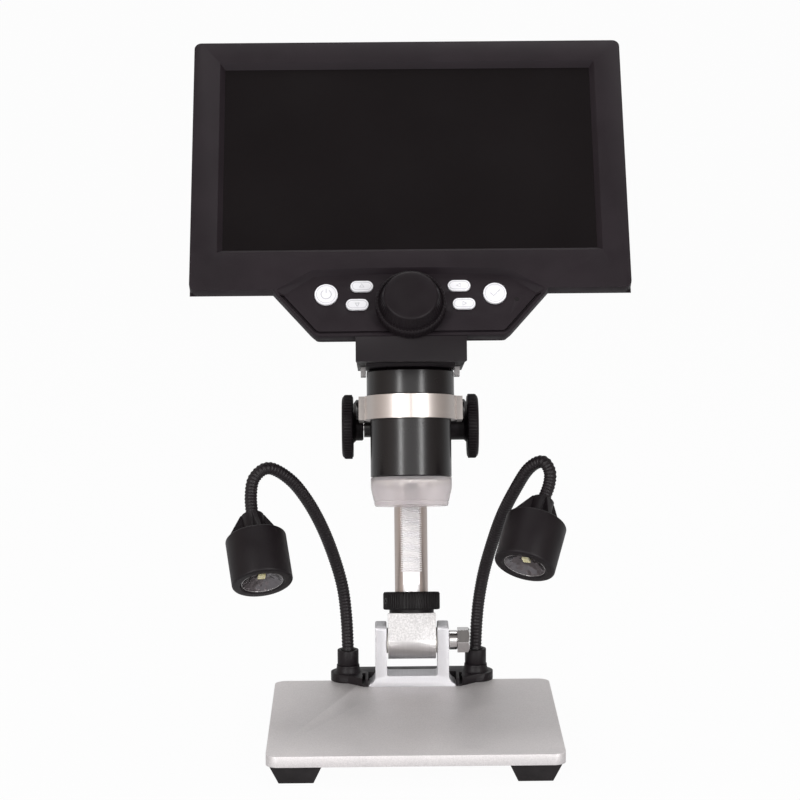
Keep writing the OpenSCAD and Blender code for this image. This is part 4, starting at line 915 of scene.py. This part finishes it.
class SCOPE_OT_stand(Operator):
    """Stage plate, its feet, the column bracket and the tilt bolt"""
    bl_idname = "scope.stand"
    bl_label = "Stand"

    def execute(self, context):
        sizes = context.scene.scope_sizes
        eased_nodes("stage", 2 * sizes.metal_edge, "base_plate", segments=3)
        feet = [f"foot_{row}_{side}" for row in ("front", "rear") for side in ("left", "right")]
        eased_nodes("rubber", 2 * sizes.metal_edge, *feet)
        eased_nodes("bracket", sizes.metal_edge, "bracket")
        fit(moved(coat(self.spacer(), "screw"), BOLT), "bolt_spacer")
        fit(moved(coat(self.bolt(), "screw"), BOLT), "pivot_bolt")
        refinish("screw", "foot_screws", "bracket_screws")
        refinish("washer", "friction_washers")
        return {"FINISHED"}

    def spacer(self):
        low, high = box_in("bolt_spacer", BOLT)
        bore, edge, outer = 3.0 * MM, 0.35 * MM, high.x
        profile = [(bore, low.z), (outer - edge, low.z), (outer, low.z + edge), (outer, high.z - edge),
                   (outer - edge, high.z), (bore, high.z), (bore, low.z)]
        return ease(lathe("bolt_spacer_turned", profile), 0.1 * MM, 2, 25)

    def bolt(self):
        """Shaft and chamfered hexagon head along Z."""
        low, high = box_in("pivot_bolt", BOLT)
        under = box_in("bolt_spacer", BOLT)[1].z
        shaft, chamfer = 3.0 * MM, 0.7 * MM
        head = ease(self.hexagon("pivot_bolt_head", high.x, chamfer, under, high.z), 0.2 * MM, 2, 35)
        rod = ease(lathe("pivot_bolt_shaft", [
            (0, low.z), (shaft - 0.5 * MM, low.z), (shaft, low.z + 0.5 * MM), (shaft, under + 0.2 * MM),
            (0, under + 0.2 * MM)]), 0.1 * MM)
        return joined("pivot_bolt_turned", [coat(head, "screw"), coat(rod, "screw")])

    def hexagon(self, name, flats, chamfer, low, high, steps=72):
        """A hexagon with turned-down corners; flats is half its width across flats."""
        inner, corner, sixth = flats - 0.2 * MM, flats / math.cos(math.pi / 6), math.pi / 3
        form = bmesh.new()
        rings = [[], [], []]
        for turn in (math.tau * i / steps for i in range(steps)):
            reach = flats / math.cos((turn + sixth / 2) % sixth - sixth / 2)
            edge = high - chamfer * (reach - inner) / (corner - inner)
            for ring, (radius, height) in zip(rings, ((reach, low), (reach, edge), (inner, high))):
                ring.append(form.verts.new((radius * math.cos(turn), radius * math.sin(turn), height)))
        for lower, upper in zip(rings, rings[1:]):
            for i in range(steps):
                form.faces.new((lower[i - 1], lower[i], upper[i], upper[i - 1]))
        form.faces.new(rings[0])
        form.faces.new(rings[-1])
        outward(form)
        return from_bmesh(name, form)


class SCOPE_OT_lamp_base(Operator):
    """Base and sockets of the bendy arms"""
    bl_idname = "scope.lamp_base"
    bl_label = "Lamp base"

    def execute(self, context):
        sizes = context.scene.scope_sizes
        eased_nodes("lamp", sizes.housing_edge, "lamp_base")
        eased_nodes("lamp", sizes.metal_edge, "lamp_sockets")
        refinish("black screw", "lamp_base_screws")
        return {"FINISHED"}


class SCOPE_OT_column(Operator):
    """Pivot block, column with its rack, and lock collar"""
    bl_idname = "scope.column"
    bl_label = "Column"

    def execute(self, context):
        sizes = context.scene.scope_sizes
        body = coat(eased_copy("pivot_block", sizes.metal_edge), "block")
        turned_top, turned_half = 0.2 * MM, 10 * MM
        repainted(body, "turned", COLUMN, lambda at: at.z < turned_top and abs(at.x) < turned_half)
        fit(body, "pivot_block")
        fit(moved(self.collar(sizes.collar_ribs), COLUMN), "column_collar")
        refinish("column", "column")
        rack_half, rack_y = 3.7 * MM, -5.2 * MM
        # The rounded sides, off the rack's flat, take a darker warm copy of the column's steel: painted reflection
        repainted(frame["nodes"]["column"], "column sides painted reflection", COLUMN,
                  lambda at: abs(at.x) > rack_half or at.y > rack_y)
        return {"FINISHED"}

    def collar(self, ribs):
        """A stepped ring with straight ribs and a grub screw at its left."""
        low, high = box_in("column_collar", COLUMN)
        bore, step_r, step_h, depth = 7.25 * MM, 9.7 * MM, 1.4 * MM, 0.4 * MM
        outer = high.x - depth
        start, end = low.z + step_h, high.z
        profile = [(bore, low.z), (step_r, low.z), (step_r, start), (outer - 0.5 * MM, start),
                   (outer, start + 0.5 * MM), (outer, end - 0.8 * MM), (outer - 0.8 * MM, end),
                   (bore + 0.5 * MM, end), (bore, end - 0.5 * MM), (bore, low.z)]
        body = ease(lathe("column_collar_turned", profile), 0.15 * MM, 2, 25)
        crest = outer - 0.04 * MM
        bar = rib("column_collar_rib", [(outer - 0.3 * MM, 0, start + 0.3 * MM), (crest, 0, start + 0.8 * MM),
                                        (crest, 0, end - 0.9 * MM), (outer - 0.5 * MM, 0, end - 0.3 * MM)],
                  0.42 * MM)
        ribbed = with_ring(body, bar, ribs, "knurled")
        screw = ease(lathe("grub_screw", [(0, 0), (1.3 * MM, 0), (1.3 * MM, 0.75 * MM), (0.7 * MM, 0.75 * MM),
                                          (0.6 * MM, 0.2 * MM), (0, 0.2 * MM)]), 0.06 * MM)
        side = Vector((-0.906, -0.423, 0))  # the grub screw's way out: left and a little forward
        at = side * (outer - 0.25 * MM) + Vector((0, 0, (start + end) / 2))
        moved(coat(screw, "black screw"), place_at(at, (0, 0, 1), side))
        return joined("column_collar_ribbed", [ribbed, screw])


class SCOPE_OT_carriage(Operator):
    """Carriage, barrel clamp, clamp screws and the focus pinion"""
    bl_idname = "scope.carriage"
    bl_label = "Carriage"

    def execute(self, context):
        sizes = context.scene.scope_sizes
        eased_nodes("lamp", 2 * sizes.housing_edge, "carriage")
        ring = -box_in("barrel_clamp", BARREL)[0].y - 0.2 * MM
        clamp = moved(coat(self.clamp(sizes), "clamp"), BARREL)
        # The arms outside the ring take the darker copy of the clamp finish: painted shade
        fit(repainted(clamp, "clamp arms painted shade", BARREL, lambda at: abs(at.x) > ring), "barrel_clamp")
        eased_nodes("black screw", sizes.metal_edge, "clamp_screws")
        refinish("anodised", "pinion_bushes")
        refinish("screw", "pinion_shaft")
        return {"FINISHED"}

    def clamp(self, sizes):
        """A split ring with two arms, about the barrel's axis."""
        low, high = box_in("barrel_clamp", BARREL)
        outer, wall, arm, half = -low.y, 2.5 * MM, 2.2 * MM, 3 * MM
        slit_half, slit_l = 0.25 * MM, 0.9 * MM
        inner = high.x - arm
        ring = lathe("barrel_clamp_ring", [(0, low.z), (outer, low.z), (outer, high.z), (0, high.z)], 128)
        bridge = block("barrel_clamp_bridge", (-high.x, -half, low.z), (high.x, half, high.z))
        body = carved(ring, bridge, "UNION")
        for side in (-1, 1):
            near, far = sorted((side * inner, side * high.x))
            side_arm = block("barrel_clamp_arm", (near, -half, low.z), (far, high.y, high.z))
            body = carved(body, side_arm, "UNION")
        drill = lathe("barrel_clamp_bore", [(0, low.z - MM), (outer - wall, low.z - MM),
                                            (outer - wall, high.z + MM), (0, high.z + MM)], 128)
        body = carved(body, drill, "DIFFERENCE")
        slit = block("barrel_clamp_slit", (-slit_half, -outer - MM, low.z - MM),
                     (slit_half, -outer + slit_l, high.z + MM))
        return ease(carved(body, slit, "DIFFERENCE"), 0.6 * sizes.metal_edge, 2, 30)


class SCOPE_OT_focus_knobs(Operator):
    """Two ribbed focus knobs"""
    bl_idname = "scope.focus_knobs"
    bl_label = "Focus knobs"

    def execute(self, context):
        ribs = context.scene.scope_sizes.knob_ribs
        axis = Vector(JOINTS["focus_turn"]["pos_m"])
        for side, sign in (("left", -1), ("right", 1)):
            node = f"focus_knob_{side}"
            place = place_at(axis, (0, 0, 1), (sign, 0, 0))
            low, high = box_in(node, place)
            piece = self.knob(node, high.x, low.z, high.z, ribs)
            fit(moved(piece, place), node)
        return {"FINISHED"}

    def knob(self, node, radius, low, high, ribs):
        """A disc with a crowned face on a stepped hub; Z points out of the microscope."""
        disc, crown, hub, rim = 5.0 * MM, 1.1 * MM, 6.0 * MM, 0.3 * MM
        face = high - disc
        outer = radius - rim
        profile = [(0, low), (hub - 0.4 * MM, low), (hub, low + 0.4 * MM), (hub, face - 1.2 * MM),
                   (hub + 1.2 * MM, face), (outer - 0.6 * MM, face), (outer, face + 0.6 * MM),
                   (outer, high - crown - 0.5 * MM)]
        shrink, curve, steps = 0.16, 1.6, 8
        for share in (step / steps for step in range(1, steps + 1)):
            profile.append((outer * (1 - shrink * share * share) - 0.2 * MM,
                            high - crown * (1 - share) ** curve))
        profile += [(outer * 0.5, high - 0.25 * MM), (0, high - 0.3 * MM)]
        body = ease(lathe(f"{node}_grip", profile), 0.25 * MM, 2, 35)
        bar = rib(f"{node}_rib", [(outer - 0.05 * MM, 0, face + 0.5 * MM), (outer, 0, face + 0.9 * MM),
                                  (outer, 0, high - crown - 0.6 * MM), (outer - 0.25 * MM, 0, high - crown)],
                  1.3 * rim)
        return with_ring(body, bar, ribs, "controls")


class SCOPE_OT_barrel(Operator):
    """Barrel, frosted shroud, ring lamps and the optics inside"""
    bl_idname = "scope.barrel"
    bl_label = "Barrel"

    def execute(self, context):
        fit(moved(coat(self.tube(), "anodised"), BARREL), "barrel")
        fit(moved(coat(self.shroud(), "shroud"), BARREL), "shroud")
        refinish("white board", "led_board")
        refinish("board", "image_sensor_board")
        refinish("ring led", "ring_leds")
        refinish("black screw", "lens_carrier")
        refinish("lens", "objective_lenses")
        return {"FINISHED"}

    def tube(self):
        """The barrel with its wider head above the clamp."""
        low, high = box_in("barrel", BARREL)
        clamp_top = box_in("barrel_clamp", BARREL)[1].z
        body, head = box_in("shroud", BARREL)[1].x, high.x
        bore, seat, board, edge, chamfer = 13.0 * MM, 14.2 * MM, 13.5 * MM, 0.4 * MM, 1.2 * MM
        seat_top, board_low = low.z + 3 * MM, high.z - 8 * MM
        profile = [(bore, seat_top), (seat, seat_top), (seat, low.z), (body - edge, low.z),
                   (body, low.z + edge), (body, clamp_top), (head - edge, clamp_top),
                   (head, clamp_top + edge), (head, high.z - chamfer), (head - chamfer, high.z),
                   (board, high.z), (board, board_low), (bore, board_low), (bore, seat_top)]
        return ease(lathe("barrel_turned", profile, 144), 0.15 * MM, 2, 25)

    def shroud(self):
        """A cup that narrows to its mouth, with a lip and a collar inside the barrel."""
        low, high = box_in("shroud", BARREL)
        top = box_in("barrel", BARREL)[0].z
        mouth, outer, wall, edge = 15.5 * MM, high.x, 1.4 * MM, 0.3 * MM
        seat, bore, bend, shelf = 14.2 * MM, 13.0 * MM, low.z + 8 * MM, top - 1.5 * MM
        slope = (outer - mouth) / (bend - low.z)
        lip = low.z + 1.6 * MM
        side = mouth + slope * (lip - low.z)
        profile = [(mouth - wall, low.z + edge), (mouth - wall + edge, low.z), (mouth - edge, low.z),
                   (mouth, low.z + edge), (side, lip), (side - 0.25 * MM, lip + 0.1 * MM),
                   (side - 0.2 * MM, lip + 0.4 * MM), (side + 0.1 * MM, lip + 0.6 * MM),
                   (outer - 0.15 * MM, bend - MM), (outer, bend + 0.5 * MM), (outer, top - 0.2 * MM),
                   (outer - 0.2 * MM, top), (seat, top),
                   (seat, high.z), (bore, high.z), (bore, shelf), (outer - wall, shelf), (outer - wall, bend),
                   (mouth - wall, low.z + edge)]
        return ease(lathe("shroud_cup", profile, 128), 0.08 * MM, 2, 30)


class SCOPE_OT_screen_head(Operator):
    """Bezel, rear housing, neck, display and what the housing holds"""
    bl_idname = "scope.screen_head"
    bl_label = "Screen head"

    def execute(self, context):
        sizes = context.scene.scope_sizes
        eased_nodes("housing", sizes.housing_edge, "front_bezel", segments=3)
        eased_nodes("housing", 2 * sizes.housing_edge, "rear_housing", segments=3)
        neck = coat(eased_copy("neck_housing", sizes.housing_edge, 3), "controls")
        corner = box_in("barrel", BARREL)[1]
        repainted(neck, "lug", BARREL, lambda at: at.z < corner.z - 0.5 * MM and abs(at.x) > corner.x)
        fit(neck, "neck_housing")
        low, high = box_in("lcd_panel", SCREEN)
        glass = ease(block("lcd_panel_glass", low, high), 0.1 * MM)
        fit(moved(coat(glass, "display"), SCREEN), "lcd_panel")
        refinish("screw", "housing_screws", "usb_socket", "card_socket")
        refinish("board", "main_board", "button_board")
        refinish("battery", "battery_pack")
        refinish("light", "status_light")
        return {"FINISHED"}


class SCOPE_OT_buttons(Operator):
    """Six buttons with raised symbols"""
    bl_idname = "scope.buttons"
    bl_label = "Buttons"

    def execute(self, context):
        marks = {"power": self.power_mark, "confirm": self.confirm_mark,
                 "up": lambda: self.arrow_mark(90), "down": lambda: self.arrow_mark(-90),
                 "left": lambda: self.arrow_mark(180), "right": lambda: self.arrow_mark(0)}
        for name, mark in marks.items():
            self.button(f"button_{name}", mark())
        return {"FINISHED"}

    def button(self, node, lines):
        """A cap with a border line and its mark; the CAD node's box holds the flange too."""
        low, high = box_in(node, SCREEN)
        centre = (low + high) / 2
        flange, inset = 0.7 * MM, 0.8 * MM
        reach = (high - low) / 2 - Vector((flange + inset, flange + inset, 0))
        cap = coat(eased_copy(node, 0.35 * MM, 3, 40), "buttons")
        drawn = [(self.stadium(reach.x, reach.y), True, 0.09 * MM)] + [(*line, 0.15 * MM) for line in lines]
        strokes = [coat(bead(f"{node}_mark", [(x, y, 0) for x, y in line], width, closed), "marks")
                   for line, closed, width in drawn]
        top = SCREEN @ Matrix.Translation((centre.x, centre.y, high.z + 0.01 * MM))
        for stroke in strokes:
            moved(stroke, top)
        fit(joined(f"{node}_cap", [cap] + strokes), node)

    def stadium(self, across, up, steps=16):
        """Points round an oval with straight sides, or a circle."""
        run = across - up
        return [(math.copysign(run, math.cos(a)) + up * math.cos(a), up * math.sin(a))
                for a in (math.pi * (i + 0.5) / steps for i in range(2 * steps))]

    def arc(self, radius, start, end, steps=20):
        """Points of an arc, in degrees."""
        turns = [math.radians(start + (end - start) * i / steps) for i in range(steps + 1)]
        return [(radius * math.cos(turn), radius * math.sin(turn)) for turn in turns]

    def power_mark(self):
        return [(self.arc(2.1 * MM, 125, 415), False), ([(0, 0.6 * MM), (0, 2.6 * MM)], False)]

    def confirm_mark(self):
        return [([(-1.8 * MM, 0.1 * MM), (-0.5 * MM, -1.4 * MM), (2.0 * MM, 1.5 * MM)], False)]

    def arrow_mark(self, turn):
        size = 1.05 * MM
        corners = [(size * math.cos(math.radians(turn + a)), size * math.sin(math.radians(turn + a)))
                   for a in (0, 120, 240)]
        return [(corners, True)]


class SCOPE_OT_zoom_wheel(Operator):
    """Zoom wheel with a ribbed grip, and its shaft"""
    bl_idname = "scope.zoom_wheel"
    bl_label = "Zoom wheel"

    def execute(self, context):
        ribs = context.scene.scope_sizes.wheel_ribs
        low, high = box_in("zoom_wheel", WHEEL)
        cap_r, rib_r = 11.2 * MM, 0.36 * MM
        rim = high.x - 0.15 * MM
        shelf, crown = low.z + 5.1 * MM, high.z - 1.1 * MM
        profile = [(0, low.z), (rim - 0.5 * MM, low.z), (rim, low.z + 0.5 * MM), (rim, shelf - 0.7 * MM),
                   (rim - 0.5 * MM, shelf), (rim - 1.2 * MM, shelf), (cap_r + 1.7 * MM, shelf - 0.4 * MM),
                   (cap_r + 1.3 * MM, shelf + 0.3 * MM), (cap_r + 0.1 * MM, crown - 0.3 * MM)]
        for turn in quarter(6):
            profile.append((cap_r - 1.1 * MM * (1 - math.cos(turn)), crown + 0.9 * MM * math.sin(turn)))
        profile += [(cap_r * 0.8, high.z), (cap_r * 0.6, high.z - 0.15 * MM), (0, high.z - 0.25 * MM)]
        body = ease(lathe("zoom_wheel_grip", profile, 120), 0.15 * MM, 2, 35)
        crest = rim - 0.2 * MM
        skirt = rib("zoom_wheel_skirt_rib", [(crest, 0, low.z + 0.6 * MM), (crest, 0, shelf - 0.8 * MM),
                                             (rim - 0.5 * MM, 0.2 * MM, shelf - 0.2 * MM),
                                             (rim - 1.0 * MM, 0.5 * MM, shelf)], rib_r)
        wall = rib("zoom_wheel_wall_rib", [(cap_r + 1.2 * MM, 0, shelf + 0.3 * MM),
                                           (cap_r - 0.1 * MM, 0, crown - 0.5 * MM)], rib_r)
        ribbed = with_ring(body, joined("zoom_wheel_ribs", [skirt, wall]), ribs, "controls")
        fit(moved(ribbed, WHEEL), "zoom_wheel")
        refinish("screw", "zoom_shaft")
        return {"FINISHED"}


class SCOPE_OT_arms(Operator):
    """Two ribbed bendy arms in their ferrules"""
    bl_idname = "scope.arms"
    bl_label = "Bendy arms"

    def execute(self, context):
        sizes = context.scene.scope_sizes
        for side, route in ARM_ROUTES.items():
            fit(self.hose(side, route, sizes), f"gooseneck_{side}")
            refinish("black screw", f"arm_ferrule_{side}")
        return {"FINISHED"}

    def hose(self, side, route, sizes):
        """A ribbed hose on a smooth path through the points of a route."""
        name = f"gooseneck_{side}_ribbed"
        points = [Vector(p) for p in route]
        ends = [2 * points[0] - points[1]] + points + [2 * points[-1] - points[-2]]
        steps = 12
        path = []
        for a, b, c, d in zip(ends, ends[1:], ends[2:], ends[3:]):
            for t in (i / steps for i in range(steps)):
                path.append(0.5 * (2 * b + (c - a) * t + (2 * a - 5 * b + 4 * c - d) * t * t
                                   + (3 * b - a - 3 * c + d) * t ** 3))
        path.append(points[-1])
        return grown(polyline(name, path), TREES["hose"], Diameter=sizes.arm_diameter,
                     Pitch=sizes.rib_pitch, Depth=sizes.rib_depth, Sides=24, Material=FINISHES["skin"])


class SCOPE_OT_lamps(Operator):
    """Two lamps: finned heads, reflectors and chips"""
    bl_idname = "scope.lamps"
    bl_label = "Lamps"

    def execute(self, context):
        hole, inset, wire = 2.1 * MM, 0.25 * MM, 0.12 * MM
        for side, place in LAMPS.items():
            node = f"lamp_head_{side}"
            low, high = box_in(node, place)
            first = math.radians(45) if side == "right" else 0
            fit(moved(self.head(node, high.x, -low.z, high.z, first), place), node)
            node = f"lamp_reflector_{side}"
            low, high = box_in(node, place)
            dish = coat(eased_copy(node, 0.1 * MM, sharp=35), "reflector")
            repainted(dish, "lamp", place, lambda at: math.hypot(at.x, at.y) < hole)
            # A thin ring of lighter turned metal round the reflector's rim: a painted highlight of the rim's edge
            # catching the light
            rim = high.x - inset
            circle = [(rim * math.cos(a), rim * math.sin(a), low.z + 0.02 * MM)
                      for a in (math.tau * i / 64 for i in range(64))]
            line = moved(coat(bead(f"{node}_line", circle, wire, True), "turned"), place)
            fit(joined(f"{node}_dish", [dish, line]), node)
            refinish("led", f"lamp_led_{side}")
        return {"FINISHED"}

    def head(self, node, radius, mouth, lip, first):
        """A lamp head about its joint; it shines towards -Z."""
        neck_r, neck_l, shoulder, bore = 4.8 * MM, 9.0 * MM, 1.1 * MM, 8.95 * MM
        seat, well = 3.05 * MM, 5.8 * MM
        throat = (seat + 1.5 * MM, lip - 0.3 * MM)
        profile = [throat, (neck_r - 0.4 * MM, lip), (neck_r, lip - 0.5 * MM), (neck_r, -neck_l)]
        for turn in quarter(6):
            profile.append((radius - shoulder + shoulder * math.sin(turn),
                            -neck_l - shoulder + shoulder * math.cos(turn)))
        for turn in quarter(4):
            profile.append((radius - MM + MM * math.cos(turn), -mouth + MM - MM * math.sin(turn)))
        profile += [(bore + 0.5 * MM, -mouth), (bore, -mouth + 0.5 * MM), (bore, -mouth + well),
                    (0, -mouth + well), (0, -seat)]
        for turn in quarter(7)[1:]:
            profile.append((seat * math.sin(turn), -seat * math.cos(turn)))
        profile.append(throat)
        body = ease(lathe(f"{node}_finned", profile), 0.2 * MM, 2, 40)
        reach = radius - 1.1 * MM
        inner, crest, foot = neck_r - 0.4 * MM, lip - 0.4 * MM, -neck_l - 0.6 * MM
        outline = [(inner, crest), (neck_r + 0.3 * MM, crest), (reach, foot + 0.8 * MM), (reach, foot),
                   (inner, foot)]
        fins, fin_half = 4, 0.85 * MM
        fin = moved(slab(f"{node}_fin", outline, -fin_half, fin_half), Matrix.Rotation(math.pi / 2, 4, "X"))
        return with_ring(body, ease(fin, 0.35 * MM, 3), fins, "lamp", first)


class SCOPE_PT_sidebar(Panel):
    """Lists the steps and the settings"""
    bl_label = "Digital microscope"
    bl_idname = "SCOPE_PT_sidebar"
    bl_space_type = "VIEW_3D"
    bl_region_type = "UI"
    bl_category = "Microscope"

    def draw(self, context):
        for step in STEPS:
            self.layout.operator(step.bl_idname)
        for group in ("scope_colours", "scope_sizes", "scope_stage"):
            settings = getattr(context.scene, group)
            box = self.layout.box()
            for name in settings.__annotations__:
                box.prop(settings, name)


STEPS = (SCOPE_OT_stage, SCOPE_OT_finishes, SCOPE_OT_stand, SCOPE_OT_lamp_base, SCOPE_OT_column,
         SCOPE_OT_carriage, SCOPE_OT_focus_knobs, SCOPE_OT_barrel, SCOPE_OT_screen_head, SCOPE_OT_buttons,
         SCOPE_OT_zoom_wheel, SCOPE_OT_arms, SCOPE_OT_lamps)
GROUPS = {"scope_colours": ScopeColours, "scope_sizes": ScopeSizes, "scope_stage": ScopeStage}


def register():
    for group in GROUPS.values():
        bpy.utils.register_class(group)
    for name, group in GROUPS.items():
        setattr(bpy.types.Scene, name, PointerProperty(type=group))
    for step in (*STEPS, SCOPE_PT_sidebar):
        bpy.utils.register_class(step)


def unregister():
    for step in (SCOPE_PT_sidebar, *reversed(STEPS)):
        bpy.utils.unregister_class(step)
    for name, group in GROUPS.items():
        delattr(bpy.types.Scene, name)
        bpy.utils.unregister_class(group)


def main():
    register()
    for step in STEPS:
        family, name = step.bl_idname.split(".")
        getattr(getattr(bpy.ops, family), name)()
    bpy.context.view_layer.update()


if __name__ == "__main__":
    main()
